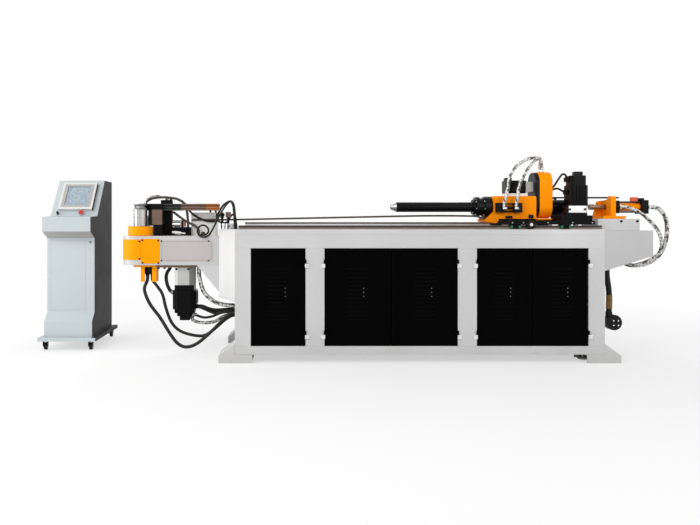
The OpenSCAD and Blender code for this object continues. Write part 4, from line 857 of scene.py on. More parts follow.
# Small cables that the frame leaves out: route in millimetres, radius in metres, finish, the body that
# holds its start and the one that holds its end
SMALL_CABLES = {
    "arch_cable_near": ([
        (-2236, 36, 1246), (-2228, 44, 1268), (-2190, 54, 1292), (-2126, 60, 1303), (-2064, 60, 1303),
        (-1967, 62, 1288), (-1900, 66, 1240), (-1886, 70, 1173), (-1880, 74, 1112), (-1879, 76, 1044)],
        0.0110, "oily", "pressure_die", "pressure_slide"),
    "arch_cable_clear": ([
        (-2232, 22, 1246), (-2228, 24, 1276), (-2192, 34, 1309), (-2140, 46, 1318), (-2080, 56, 1302),
        (-2050, 62, 1279)], 0.0070, "wrap", "pressure_die", "pressure_slide"),
    "arch_cable_far": ([
        (-2035, 90, 1279), (-2010, 94, 1298), (-1937, 96, 1276), (-1892, 96, 1230), (-1857, 94, 1176),
        (-1795, 88, 1130), (-1724, 86, 1103), (-1670, 92, 1098), (-1652, 104, 1098)],
        0.0095, "cable", "pressure_slide", "machine"),
    "knot_cable_near": ([
        (-1655, 104, 1090), (-1643, 112, 1105), (-1620, 118, 1166), (-1577, 120, 1237), (-1518, 120, 1272),
        (-1487, 120, 1242), (-1475, 120, 1151), (-1465, 120, 1076), (-1461, 120, 1028)],
        0.0095, "cable", "machine", "machine"),
    "knot_cable_far": ([
        (-1690, 130, 1172), (-1690, 134, 1204), (-1668, 136, 1224), (-1648, 134, 1194), (-1636, 112, 1146),
        (-1618, 70, 1104), (-1577, 36, 1082), (-1534, 30, 1092), (-1512, 30, 1130), (-1488, 30, 1154),
        (-1466, 29, 1132), (-1460, 28, 1085), (-1460, 28, 1028)],
        0.0090, "cable", "machine", "machine"),
    "ring_cable": ([
        (-1733, -70, 992), (-1738, -130, 988), (-1730, -185, 984), (-1705, -200, 984), (-1676, -207, 997),
        (-1668, -208, 1024), (-1684, -208, 1052), (-1714, -208, 1063), (-1745, -208, 1050),
        (-1760, -210, 1018), (-1750, -214, 987), (-1722, -218, 968), (-1690, -216, 968), (-1662, -200, 986),
        (-1641, -170, 1025), (-1603, -120, 1110), (-1566, -60, 1190), (-1528, -40, 1246), (-1500, -36, 1262),
        (-1480, -36, 1225), (-1470, -38, 1120), (-1466, -38, 1028)], 0.0075, "cable", "machine", "machine"),
    "motor_plug_cable": ([
        (-2008, -60, 713), (-2014, -60, 694), (-2036, -60, 660), (-2043, -60, 620), (-2036, -60, 570),
        (-2020, -60, 528), (-2004, -60, 506), (-1990, -60, 498)], 0.0150, "cable", "machine", "machine"),
    "head_cable_a": ([
        (-1773, -80, 374), (-1740, -84, 368), (-1697, -90, 350), (-1628, -96, 326), (-1542, -100, 340),
        (-1464, -98, 362), (-1445, -98, 366)], 0.0120, "cable", "machine", "machine"),
    "head_cable_b": ([
        (-1806, -88, 313), (-1770, -91, 302), (-1715, -95, 288), (-1645, -100, 300), (-1568, -105, 330),
        (-1464, -110, 343), (-1445, -110, 344)], 0.0110, "cable", "machine", "machine"),
    "head_cable_white": ([
        (-1826, -30, 276), (-1820, -30, 258), (-1775, -34, 240), (-1706, -40, 236), (-1628, -44, 250),
        (-1559, -46, 292), (-1464, -48, 322), (-1445, -48, 328)], 0.0150, "wrap", "machine", "machine"),
    "feed_cable_upper": ([
        (1291, -170, 1456), (1285, -168, 1480), (1262, -156, 1484), (1236, -130, 1436), (1220, -96, 1392),
        (1209, -60, 1376)], 0.0085, "cable", "carriage", "carriage"),
    "feed_cable_lower": ([
        (1276, -172, 1337), (1256, -166, 1350), (1238, -130, 1368), (1220, -90, 1366), (1209, -50, 1352)],
        0.0085, "cable", "carriage", "carriage"),
    "slide_hose": ([
        (-2004, 58, 1176), (-1990, 58, 1168), (-1950, 60, 1136), (-1905, 66, 1104), (-1862, 76, 1080),
        (-1812, 70, 1054), (-1784, 44, 1022), (-1776, 20, 982)],
        0.0110, "oily", "pressure_slide", "machine"),
    "taut_wire": ([
        (-1850, 92, 1110), (-1820, 90, 1110), (-1640, 86, 1111), (-1455, 82, 1112), (-850, 40, 1124),
        (-350, 0, 1134), (150, -36, 1143), (540, -66, 1140), (610, -68, 1126), (652, -68, 1114)],
        0.0080, "oily", "machine", "carriage"),
}


class BENDER_OT_camera(Operator):
    """Set the camera where the photograph was taken from"""

    bl_idname = "bender.camera"
    bl_label = "Camera"

    def execute(self, context):
        lens = bpy.data.cameras.new("camera")
        lens.sensor_width = 36.0
        lens.lens = 33.395
        # The picture is a crop, so its middle lies beside and under the lens axis
        lens.shift_x, lens.shift_y = 0.0929, -0.0536
        lens.clip_end = 60.0
        lens.dof.use_dof = False
        camera = bpy.data.objects.new("camera", lens)
        camera.location = (-1.039, -5.55, 1.065)
        camera.rotation_euler = (math.radians(90), 0, 0)
        context.scene.collection.objects.link(camera)
        context.scene.camera = camera
        return {"FINISHED"}


# Points of the spline between two points of a route
SPLINE_STEPS = 8
# Distance between the rings of a small cable, and of the taut wire
CABLE_STEP, WIRE_STEP = 0.005, 0.02
# The stretch of the mains cable, in heights over the floor, that a worn sleeve covers, and its wall
SLEEVE_LOW, SLEEVE_HIGH, SLEEVE_WALL = 0.385, 0.520, 0.002


class BENDER_OT_hoses(Operator):
    """Lay the hoses and cables along the frame's routes"""

    bl_idname = "bender.hoses"
    bl_label = "Hoses and cables"

    def hose(self, node, route):
        """One of the frame's hoses, in the place of its CAD node."""
        radius, swell, skin = HOSES[node]
        pitch = sizes().wrap_pitch
        path = resampled(spline(route, SPLINE_STEPS), pitch / 10 if swell else radius)
        piece = coated(tube(node + "_tube", path, radius, ridge=swell, pitch=pitch), skin)
        placed(piece, node + "_tube", BODY_OF[node])
        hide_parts(node)
        if node == "power_cable":
            worn = [point for point in path if SLEEVE_LOW < point.z < SLEEVE_HIGH]
            sleeve = coated(tube("cable_sleeve", worn, radius + SLEEVE_WALL), "brown_sleeve")
            placed(sleeve, "cable_sleeve", BODY_OF[node])

    def cable(self, name, route, radius, skin, first, last):
        """One of the small cables that the frame leaves out."""
        taut, wound = name == "taut_wire", skin == "wrap"
        path = resampled(spline(route, SPLINE_STEPS), WIRE_STEP if taut else CABLE_STEP)
        piece = coated(tube(name, path, radius, sides=10, ridge=0.08 if wound else 0.0, pitch=0.022), skin)
        piece.name = piece.data.name = name
        if first == last:
            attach(piece, first)
        else:
            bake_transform(piece)

    def execute(self, context):
        for node, route in ROUTES.items():
            self.hose(node, route)
        for name, row in SMALL_CABLES.items():
            self.cable(name, *row)
        return {"FINISHED"}


# The base of the machine


def beyond(axis, limit, sign=1):
    """A test that is true for faces whose middle lies past a plane."""
    index = "xyz".index(axis)
    return lambda centre, normal: (centre[index] - limit) * sign > 0


def within(low, high):
    """A test that is true for faces whose middle lies in a box."""
    return lambda centre, normal: all(a <= c <= b for a, c, b in zip(low, centre, high))


def stepped(*stages):
    """Stages of a turned shape from pairs of a length and its radius, with square steps between them."""
    made, end = [], 0.0
    for length, radius in stages:
        made.append((end + STEP if made else 0.0, radius))
        end += length
        made.append((end, radius))
    return made


class BENDER_OT_cabinet(Operator):
    """Dress the cabinet, its feet and what stands in the bays"""

    bl_idname = "bender.cabinet"
    bl_label = "Cabinet"

    def body(self):
        """The sheet metal, with other finishes on hinges, glands, duct, tail box and left wall; the left wall
        is painted lighter as painted light and the tail box darker as painted shade.
        """
        head_wall, tail_wall = -1.426, 1.43
        gland_top, duct_front = 0.42, 0.32
        tail_glands = within((1.745, -0.12, 0.0), (1.86, 0.12, 0.80))
        hinge = lambda c, n: c[1] < FRONT_Y - 0.0005
        gland = lambda c, n: (c[0] < head_wall and c[2] < gland_top) or tail_glands(c, n)
        duct = lambda c, n: c[1] > duct_front and c[2] > BED_Z + 0.001
        # The tail box under the bed gets the darker copy of the grey: painted shade.
        tail = lambda c, n: c[0] > tail_wall and c[2] < BED_Z - 0.012
        # The angled left wall, facing left and forward, gets the lighter copy of the grey: painted light.
        wall = lambda c, n: c[0] < -1.40 and n[0] < -0.2 and n[1] < -0.2 and c[2] < BED_Z
        dressed("cabinet", "cabinet", edge=0.001, regions=[
            ("bright", hinge), ("rubber", gland), ("duct", duct), ("tail", tail), ("wall", wall)])
        dressed("feet", "cabinet", edge=0.003)
        # The hydraulic unit takes the tail box's darker grey: painted shade.
        dressed("hydraulic_unit", "tail", edge=0.004)
        dressed("electric_panel", "pale", edge=0.002)
        block_front = -0.150
        holes = [(x, block_front - CLEAR, 1.0963) for x in (1.757, 1.891)]
        bolts("tail_block_bolts", "machine", "black", holes, FORWARD, 0.010, 0.006)
        strip = [((-1.40, 0.325, 1.078), (1.38, 0.330 - CLEAR, 1.0905))]
        blocks("duct_trim", "machine", "trim", strip)

    def fittings(self):
        """The hose fittings and the hand valve that stand on the bed beside the head."""
        foot = BED_Z + SEAT
        rows = []
        for x, y, wide in ((-1.555, -0.075, 0.017), (-1.532, -0.015, 0.014), (-1.500, -0.060, 0.018),
                           (-1.512, 0.045, 0.014), (-1.483, 0.010, 0.013), (-1.560, 0.060, 0.015)):
            stages = stepped((0.012, wide), (0.018, wide * 0.7), (0.018, wide * 0.9))
            rows.append(((x, y, foot), UP, stages))
        turnings("bed_fittings", "machine", "steel", rows, sides=6)
        knob_x, valve_x, stem_y = -1.576, -1.524, 0.004
        half, flange_top, valve_low, valve_high = 0.022, 0.008, 0.100, 0.146
        stem = stepped((0.096, 0.011), (flange_top, 0.017))
        stems = [((x, stem_y, foot), UP, stem) for x in (knob_x, valve_x)]
        turnings("bed_valve_stems", "machine", "black", stems)
        low = (valve_x - half, stem_y - half, foot + valve_low)
        high = (valve_x + half, stem_y + half, foot + valve_high)
        blocks("bed_valve", "machine", "brown", [(low, high)], edge=0.003)
        knob = [(0, 0.016), (0.004, 0.021), (0.036, 0.021), (0.040, 0.016)]
        turnings("bed_valve_knob", "machine", "black", [
            ((knob_x, stem_y - half, foot + half + valve_low), BACKWARD, knob)])

    def execute(self, context):
        self.body()
        self.fittings()
        return {"FINISHED"}


DOORS = ("door_left", "door_mid_left", "door_mid_right", "door_right_left", "door_right_right")


class BENDER_OT_doors(Operator):
    """Dress the five doors and fit their louvres and locks"""

    bl_idname = "bender.doors"
    bl_label = "Doors"

    def execute(self, context):
        # The doors stand back from the frame's front; all heights are over the floor
        face = FRONT_Y + 0.008
        lowest, spread = 0.33, 0.39
        half, tall = 0.08, 0.011
        lock_from_middle, lock_heights = 0.05, (0.515, 0.546, 0.577)
        for node in DOORS:
            dressed(node, "door", edge=0.0015)
            middle = middle_of(node).x
            slats = []
            for k in range(sizes().louvres):
                z = lowest + spread * k / (sizes().louvres - 1)
                slats.append(((middle - half, face - 0.004, z), (middle + half, face + 0.001, z + tall)))
            blocks(node + "_louvres", BODY_OF[node], "louvre", slats, edge=0.0018)
            dots = [(middle + lock_from_middle, face - CLEAR, z) for z in lock_heights]
            bolts(node + "_dots", BODY_OF[node], "grey_steel", dots, FORWARD, 0.0035, 0.005)
        return {"FINISHED"}


# The bending head


class BENDER_OT_head(Operator):
    """Dress the head housing, its guards, drive and tools"""

    bl_idname = "bender.head"
    bl_label = "Bending head"

    def housing(self):
        # The cream plate is the housing's top layer, up to the bed
        plate_low, plate_end = ARM_TOP - 0.0301, -1.58
        top = lambda c, n: plate_low < c[2] < ARM_TOP + 0.001 and c[0] < plate_end
        block = lambda c, n: c[2] > ARM_TOP + 0.001
        # The housing's grey is the darker copy of the cabinet grey: painted shade.
        dressed("head_housing", "head", edge=0.002, regions=[("cream", top), ("pale", block)])
        dressed("head_guards", "orange", edge=0.0016)

    def name_board(self):
        """The long board on the head's side, left bare, with its fine border line."""
        left, low, right, high = -2.064, 0.762, -1.630, 0.941
        corner = 0.036
        for layer, (inset, skin) in enumerate(((0.0, "plate"), (0.011, "plate_line"), (0.0135, "plate"))):
            piece = board((left + inset, low + inset), (right - inset, high - inset), HEAD_FRONT - CLEAR,
                          0.0014 + 0.0003 * layer, corner - inset)
            placed(coated(piece, skin), "name_board_%d" % layer, "machine")
        corners = [(x, HEAD_FRONT - 0.0016, z) for z in (0.932, 0.771) for x in (-2.057, -1.668)]
        bolts("name_board_screws", "machine", "black", corners, FORWARD, 0.0065, 0.003)

    def bracket(self):
        """The screws in both guards, and the hose bracket under them with its dark rotary union; the inner
        side faces of the bracket's legs are painted dark as painted shade.
        """
        left, right, low, round_edge = -2.213, -2.083, 0.752, -2.238
        places = [(left, 0.939), (right, 0.937), (left, low), (right, low),
                  (round_edge, 0.930), (round_edge, 0.786)]
        guard = [(x, GUARD_FRONT, z) for x, z in places]
        bolts("guard_bolts", "machine", "black", guard, FORWARD, 0.0075, 0.004)
        top, inner_left, inner_right = 0.714, -2.2325, -2.1175
        union_x, union_y, union_radius = HEAD_X + 0.085, -0.093, 0.041
        union = lambda c, n: math.hypot(c[0] - union_x, c[1] - union_y) < union_radius and c[2] < top
        # The legs' inner side faces are painted cast black: painted shade between the legs.
        inner = lambda c, n: abs(n[0]) > 0.9 and inner_left < c[0] < inner_right and c[2] < top
        dressed("hose_bracket", "orange", edge=0.0016, regions=[("black", union), ("cast_black", inner)])

    def drive(self):
        """The gearbox and motor under the head, with the chain drive inside it."""
        plate_low, plate_under, box_top = 0.712, 0.7108, 0.697
        # The gearbox's left end takes the bright aluminium as painted highlight and its right end a darker
        # copy as painted shade.
        highlight_end, shade_start = MOTOR_X - 0.052, MOTOR_X + 0.044
        dressed("bend_gearbox", "flange_dim", edge=0.002, cuts=[("x", highlight_end), ("x", shade_start)],
                regions=[("brown", beyond("z", plate_low)), ("flange", beyond("x", highlight_end, -1)),
                         ("flange_shaded", beyond("x", shade_start))])
        dressed("bend_motor", "motor", edge=0.003)
        dressed("drive_sprocket", "grey_steel", edge=0.0)
        dressed("drive_chain", "grey_steel", edge=0.0)
        hanging = [(x, y, plate_under) for x in (-2.090, -2.040) for y in (-0.145, 0.030)]
        bolts("gearbox_plate_bolts", "machine", "black", hanging, DOWN, 0.010, 0.012)
        box_front = HEAD_Y - 0.080
        box = [(MOTOR_X + dx, box_front - CLEAR, box_top) for dx in (-0.062, 0.036)]
        bolts("gearbox_bolts", "machine", "black", box, FORWARD, 0.009, 0.009)
        self.motor_ribs()
        # Each plug takes the end of a cable
        plug = stepped((0.020, 0.017), (0.020, 0.013))
        left = metres(SMALL_CABLES["motor_plug_cable"][0][-1]) + Vector((0.012, 0, 0))
        right = metres(SMALL_CABLES["head_cable_b"][0][0]) - Vector((0.012, 0, 0))
        under = metres(SMALL_CABLES["head_cable_white"][0][0]) + Vector((0, 0, 0.024))
        turnings("bend_motor_plugs", "machine", "grey_steel", [
            (left, LEFT, [(0, 0.020), (0.020, 0.020)]), (right, RIGHT, plug), (under, DOWN, plug)])

    def motor_ribs(self):
        """Upright ribs on the front and the right face of the head motor."""
        pitch, half = 0.024, 0.005
        near, far = 0.096, 0.1025
        low, side_low, high = 0.372, 0.406, 0.506
        ribs = []
        for k in range(-2, 3):
            x, y = MOTOR_X + pitch * k, HEAD_Y + pitch * k
            ribs.append(((x - half, HEAD_Y - far, low), (x + half, HEAD_Y - near, high)))
            ribs.append(((MOTOR_X + near, y - half, side_low), (MOTOR_X + far, y + half, high)))
        blocks("bend_motor_ribs", "machine", "motor", ribs, edge=0.002)

    def dies(self):
        """The spindle, the arm and the tools that form the tube."""
        arm_low, die_neck = 1.056, 1.19
        dressed("bend_spindle", "orange", edge=0.002, regions=[("steel", beyond("z", 1.06))])
        dressed("swing_arm", "orange", edge=0.002, regions=[("cast_black", beyond("z", arm_low))])
        dressed("bend_die", "die", edge=0.001, regions=[("grey_steel", beyond("z", die_neck))],
                cuts=[("z", die_neck)])
        dressed("clamp_die", "grey_steel", edge=0.0015)
        ring, ring_top, angles = 0.084, ARM_TOP + 0.0795, (3.4, 4.3, 5.1, 6.0)
        hub = [(HEAD_X + ring * math.cos(a), HEAD_Y + ring * math.sin(a), ring_top) for a in angles]
        bolts("hub_bolts", "bend_arm", "black", hub, UP, 0.010, 0.004)
        holder_x, block_top, foot_top = -2.166, 1.195, 1.068
        holder = lambda c, n: c[0] < holder_x or c[2] > block_top
        dressed("wiper_die", "bronze", edge=0.001, cuts=[("x", holder_x), ("z", block_top), ("z", foot_top)],
                regions=[("black", holder), ("brown", beyond("z", foot_top)),
                         ("cast_black", beyond("z", foot_top, -1))])
        dressed("pressure_slide", "cast_black", edge=0.0015)
        # The pressure die is black, dimpled, brown and copper from left to right
        black_end, dimpled_end, brown_end = part("pressure_slide")[0].x, -1.929, -1.715
        dressed("pressure_die", "grey_steel", edge=0.001,
                cuts=[("x", black_end), ("x", dimpled_end), ("x", brown_end)],
                regions=[("black", beyond("x", black_end, -1)), ("knurled", beyond("x", dimpled_end, -1)),
                         ("brown", beyond("x", brown_end, -1)), ("copper", beyond("x", brown_end))])

    def slide_fittings(self):
        """The two small cylinders on the pressure slide with their straps, and the hub of the cable ring."""
        post = -2.0148
        blocks("slide_straps", "pressure_slide", "black", [
            ((post, 0.055, 1.098), (-1.906, 0.100, 1.105)),
            ((-1.936, 0.058, 1.0475), (-1.920, 0.110, 1.098)),
            ((post, 0.030, 1.022), (-1.890, 0.0512, 1.030)),
            ((-1.895, 0.020, 0.976), (-1.868, 0.0512, 0.992))])
        upper = stepped((0.016, 0.020), (0.054, 0.0235), (0.012, 0.014))
        lower = stepped((0.020, 0.012), (0.055, 0.016)) + [(0.0751, 0.010), (0.115, 0.008)]
        turnings("slide_cylinders", "pressure_slide", "bright", [
            ((post, 0.082, 1.0720), RIGHT, upper), ((-2.008, 0.034, 1.004), (1, 0, -0.10), lower)])
        block = ((-1.936, 0.060, 1.050), (-1.900, 0.098, 1.098))
        blocks("slide_fitting", "pressure_slide", "bronze", [block])
        cap = stepped((0.010, 0.024), (0.018, 0.017)) + [(0.034, 0.011)]
        hub = ((-1.733, -0.052, ARM_TOP + 0.0004), UP, cap)
        turnings("ring_hub", "machine", "black", [hub])

    def execute(self, context):
        self.housing()
        self.name_board()
        self.bracket()
        self.drive()
        self.dies()
        self.slide_fittings()
        return {"FINISHED"}


# The carriage


class BENDER_OT_carriage(Operator):
    """Dress the carriage with the chuck, its motors and the cylinders"""

    bl_idname = "bender.carriage"
    bl_label = "Carriage"

    def base(self):
        """The rails, the plate on its bearing blocks and the measuring wheel."""
        # The far rail and the near rail's lower flank are painted lighter than the rail steel: painted light.
        dressed("feed_rails", "rail", edge=0.0, regions=[
            ("rail_far_lit", beyond("y", 0.1)), ("rail_low_lit", beyond("z", BED_Z + 0.0150, -1))])
        dressed("carriage_plate", "cast_black", edge=0.003)
        dressed("bearing_blocks", "cast_black", edge=0.002)
        # Green caps stand a little proud of both ends of each block
        low, high = part("bearing_blocks")
        from_end, inner_edge, outer_edge = 0.040, 0.024, 0.0415
        inner, outer = high.y - 0.017, high.y + 0.0015
        bottom, top = low.z + 0.001, low.z + 0.026
        caps = []
        for x in (low.x + from_end, high.x - from_end):
            for side in (-1, 1):
                near, far = sorted((x + side * inner_edge, x + side * outer_edge))
                caps.append(((near, -outer, bottom), (far, -inner, top)))
                caps.append(((near, inner, bottom), (far, outer, top)))
        blocks("block_caps", "carriage", "green", caps, edge=0.002)
        dressed("measuring_wheel", "rubber", edge=0.002)
        hub = stepped((0.003, 0.013)) + [(0.0031, 0.007), (0.006, 0.006)]
        wheel = middle_of("measuring_wheel")
        turnings("measuring_hub", "measuring_wheel", "bright", [
            ((wheel.x, -0.3031, wheel.z), FORWARD, hub)])
        plate_front = part("carriage_plate")[0].y
        plate = [(x, plate_front - CLEAR, 1.083) for x in (0.81, 0.90, 1.10, 1.30, 1.46)]
        bolts("plate_bolts", "carriage", "grey_steel", plate, FORWARD, 0.0065, 0.005)

    def chuck(self):
        """The chuck in its housing, the collet, the clamp cylinder and a ring of bolts on each flange."""
        back = within((1.0681, -0.2, 1.121), (1.1025, 0.2, 1.6))
        shelf = within((0.829, -0.06, 1.3083), (1.0140, 0.06, 1.3345))
        dressed("chuck_housing", "deep_orange", edge=0.003, regions=[("black", back), ("pale", shelf)])
        dressed("chuck_spindle", "black", edge=0.001)
        dressed("collet", "collet", edge=0.0005)
        dressed("chuck_cylinder", "black", edge=0.0015)
        count, first = 8, 0.2
        for face, reach in ((0.5798, 0.0755), (0.6498, 0.082)):
            angles = [first + math.tau * k / count for k in range(count)]
            ring = [(face, reach * math.cos(a), TUBE_Z + reach * math.sin(a)) for a in angles]
            name = "flange_bolts_%d" % round(reach * 1e4)
            bolts(name, "chuck", "steel", ring, LEFT, 0.0062, 0.006)
        nut = [(0, 0.020), (0.016, 0.020)]
        start_depth, end_depth = Vector((0, 0, 0.020)), Vector((0, 0, 0.017))
        hoses = [ROUTES[node] for node in ("chuck_hose_front", "chuck_hose_rear")]
        nuts = [(metres(hose[0]) - start_depth, UP, nut) for hose in hoses]
        nuts += [(metres(hose[-1]) - end_depth, UP, nut) for hose in hoses]
        turnings("hose_nuts", "carriage", "bright", nuts, sides=6)
        face, low, thick = part("chuck_housing")[0].y - CLEAR, 1.1215, 0.010
        clamps = []
        for left, right, high in ((0.807, 0.865, 1.142), (1.000, 1.040, 1.152)):
            clamps.append(((left, face - thick, low), (right, face - CLEAR, high)))
        blocks("housing_clamps", "carriage", "black", clamps, edge=0.003)

    def motors(self):
        dressed("roll_motor", "motor", edge=0.003, regions=[("gear", beyond("x", 0.9985))])
        dressed("belt_cover", "deep_orange", edge=0.004)
        dressed("motor_pulley", "steel", edge=0.001)
        flange_top = 1.2215
        flange = lambda c, n: c[2] < flange_top and n[0] > -0.5
        dressed("feed_motor", "motor", edge=0.003, regions=[("flange", flange)])
        dressed("feed_pinion", "steel", edge=0.0)
        dressed("draw_cylinder", "black", edge=0.002)
        # Five ribs on the front of each motor, 18 and 24 mm apart
        left, right, back, front, half = 0.845, 0.990, -0.053, -0.0585, 0.004
        heights = [1.352 + 0.018 * k for k in range(5)]
        ribs = [((left, front, z - half), (right, back, z + half)) for z in heights]
        blocks("roll_motor_ribs", "carriage", "motor", ribs, edge=0.002)
        low, high, back, front, half = 1.240, 1.380, -0.244, -0.2500, 0.005
        places = [1.3226 + 0.024 * k for k in range(5)]
        ribs = [((x - half, front, low), (x + half, back, high)) for x in places]
        blocks("feed_motor_ribs", "carriage", "motor", ribs, edge=0.002)
        flange_front = part("feed_motor")[0].y
        corners = [(x, flange_front - CLEAR, 1.193) for x in (1.283, 1.408)]
        bolts("feed_flange_bolts", "carriage", "black", corners, FORWARD, 0.0085, 0.008)

    def belt(self):
        """The toothed belt inside the cover: a band round both pulleys."""
        middle, lower_radius, upper_radius = 1.155, 0.064, 0.040
        pulleys = ((TUBE_Z, lower_radius), (middle_of("motor_pulley").z, upper_radius))
        bands = []
        for grow, wide in ((0.0045, 0.040), (0.0005, 0.060)):
            rounds = []
            for z, radius in pulleys:
                bpy.ops.mesh.primitive_cylinder_add(
                    vertices=48, radius=radius + grow, depth=wide, location=(middle, 0, z),
                    rotation=(0, math.radians(90), 0))
                rounds.append(fixed(active()))
            band = joined(rounds)
            only(band)
            bpy.ops.object.mode_set(mode="EDIT")
            bpy.ops.mesh.select_all(action="SELECT")
            bpy.ops.mesh.convex_hull()
            bpy.ops.object.mode_set(mode="OBJECT")
            bands.append(band)
        outer, inner = bands
        only(outer)
        hollow = outer.modifiers.new("hollow", "BOOLEAN")
        hollow.operation = "DIFFERENCE"
        hollow.object = inner
        bpy.ops.object.modifier_apply(modifier=hollow.name)
        only(inner)
        bpy.ops.object.delete()
        placed(coated(smoothed(outer), "rubber"), "roll_belt", "carriage")

    def execute(self, context):
        self.base()
        self.chuck()
        self.motors()
        self.belt()
        return {"FINISHED"}


class BENDER_OT_tail(Operator):
    """Dress the mandrel unit on the tail"""

    bl_idname = "bender.tail"
    bl_label = "Mandrel unit"

    def execute(self, context):
        dressed("mandrel_bracket", "deep_orange", edge=0.002)
        cap = within((1.90, -0.1, 1.262), (1.964, 0.1, 1.31))
        left, right, radius = 1.7934, 1.9812, 0.0365
        barrel = lambda c, n: left < c[0] < right and math.hypot(c[1], c[2] - TUBE_Z) < radius
        dressed("mandrel_cylinder", "black", edge=0.002, regions=[("red_cap", cap), ("deep_orange", barrel)])
        dressed("mandrel_rod", "rod", edge=0.001)
        depth = Vector((0.018, 0, 0))
        rear, front = (metres(ROUTES[node][0]) - depth for node in ("tail_hose_rear", "tail_hose_front"))
        nuts = [(rear, RIGHT, [(0, 0.024), (0.016, 0.024)]), (front, RIGHT, [(0, 0.021), (0.014, 0.021)])]
        turnings("tail_nuts", "machine", "bright", nuts, sides=6)
        return {"FINISHED"}


# The console

# The desk's sloped panel: its lower left corner and its slope, as a rise over a depth
PANEL_ORIGIN = Vector((-3.094, 0.143, 1.144))
PANEL_RISE, PANEL_DEPTH = 0.326, 0.237
PANEL_TURN = Matrix.Rotation(math.atan2(PANEL_RISE, PANEL_DEPTH), 3, "X")


def on_panel(x, v, out):
    """A point on the desk's sloped panel: across, up the slope and out of it."""
    return PANEL_ORIGIN + PANEL_TURN @ Vector((x, v, out))


class BENDER_OT_console(Operator):
    """Dress the operator desk, its screen, buttons and casters"""

    bl_idname = "bender.console"
    bl_label = "Console"

    def shell(self):
        """The desk's sheet metal, dark on its sides and shaded under its ledge."""
        # The body's right side, beyond which only the base plate reaches, and that plate's top
        right, base_top = -2.684, 0.115
        side = lambda c, n: abs(n[0]) > 0.9 and c[2] > 0.13
        base = lambda c, n: c[0] > right and c[2] < base_top and n[1] > -0.9
        under = lambda c, n: c[2] > 0.9 and n[2] < -0.3 and n[1] < -0.2
        dressed("console_shell", "console", edge=0.002, cuts=[("x", right)], regions=[
            ("console_side", side), ("console_side", base), ("shade", under)])

    def door(self):
        """The line round the door in the desk's front, and its lock."""
        left, right, low, high = -3.063, -2.764, 0.33, 0.93
        front, back, half = 0.0592, 0.0605, 0.001
        uprights = [((x - half, front, low), (x + half, back, high)) for x in (right, left)]
        levels = [((left - half, front, z - half), (right + half, back, z + half)) for z in (high, low)]
        blocks("desk_door_line", "console", "console_line", uprights + levels, edge=0.0)
        lock = [(0, 0.012), (0.004, 0.012), (0.006, 0.009)]
        turnings("desk_lock", "console", "grey_steel", [((-2.722, 0.0598, 0.916), FORWARD, lock)])

    def screen(self):
        """The screen with its glass and the edging round it, and the rings of the two buttons."""
        rim = lambda c, n: n[0] > 0.9 and c[0] > -2.74
        glass_left, glass_right, glass_low, glass_high, glass_out = 0.088, 0.332, 0.082, 0.322, 0.0275

        def glass(centre, normal):
            x, v, out = PANEL_TURN.transposed() @ (Vector(centre) - PANEL_ORIGIN)
            return glass_left < x < glass_right and glass_low < v < glass_high and out < glass_out

        dressed("console_screen", "flange", edge=0.001, regions=[("black", rim), ("screen", glass)])
        left, right, low, high = 0.080, 0.340, 0.074, 0.330
        upright, level = 0.028, 0.025
        bars = [((left, low), (left + upright, high)), ((right - upright, low), (right, high)),
                ((left + upright, low), (right - upright, low + level)),
                ((left + upright, high - level), (right - upright, high))]
        back, front = 0.0262, 0.0355
        edging = joined([slab(start + (back,), end + (front,), 0.0006) for start, end in bars])
        edging.rotation_euler = PANEL_TURN.to_euler()
        edging.location = PANEL_ORIGIN
        placed(coated(fixed(edging), "gear"), "screen_edging", "console")
        dressed("stop_button", "red", edge=0.002)
        dressed("selector_knob", "plastic", edge=0.001)
        stop_x, knob_x, row = 0.267, 0.060, 0.024
        out = PANEL_TURN @ Vector(UP)
        turnings("button_rings", "console", "bright", [
            (on_panel(stop_x, row, 0.0082), out, [(0, 0.019), (0.005, 0.019), (0.0065, 0.017)]),
            (on_panel(knob_x, row, 0.0062), out, [(0, 0.017), (0.003, 0.017)])])

    def casters(self):
        for node in ("caster_fork_left", "caster_fork_right"):
            dressed(node, "black", edge=0.001)
        cap = [(0, 0.017), (0.0022, 0.017), (0.0034, 0.013)]
        half = 0.0109
        for node in ("wheel_front_left", "wheel_front_right", "wheel_rear_left", "wheel_rear_right"):
            dressed(node, "rubber", edge=0.002)
            middle = middle_of(node)
            turnings(node + "_hub", BODY_OF[node], "grey_steel", [
                ((middle.x + side * half, middle.y, middle.z), (side, 0, 0), cap) for side in (-1, 1)])

    def execute(self, context):
        self.shell()
        self.screen()
        self.door()
        self.casters()
        return {"FINISHED"}


class BENDER_OT_plug(Operator):
    """Dress the mains plug"""

    bl_idname = "bender.plug"
    bl_label = "Mains plug"

    def execute(self, context):
        pins = lambda c, n: c[1] < -0.3655
        dressed("power_plug", "plastic", edge=0.002, regions=[("bright", pins)])
        return {"FINISHED"}


# The stage


# Lamps: name, place, the point it is turned to, width and height in metres, power in watts
LAMPS = (
    ("key", (-5.2, -5.0, 4.6), (-0.6, 0, 0.8), (3.0, 2.4), 190),
    ("fill", (3.6, -5.6, 3.2), (-0.4, 0, 0.8), (3.2, 2.4), 80),
    ("back", (0.0, 4.4, 4.2), (-0.4, 0, 0.9), (4.0, 2.0), 90),
    ("left", (-7.4, -0.8, 1.9), (-1.6, 0, 0.9), (2.4, 2.4), 150),
)


def operation(tree, kind, name):
    """A new maths node of one kind, set to one operation."""
    node = tree.nodes.new(kind)
    node.operation = name
    return node


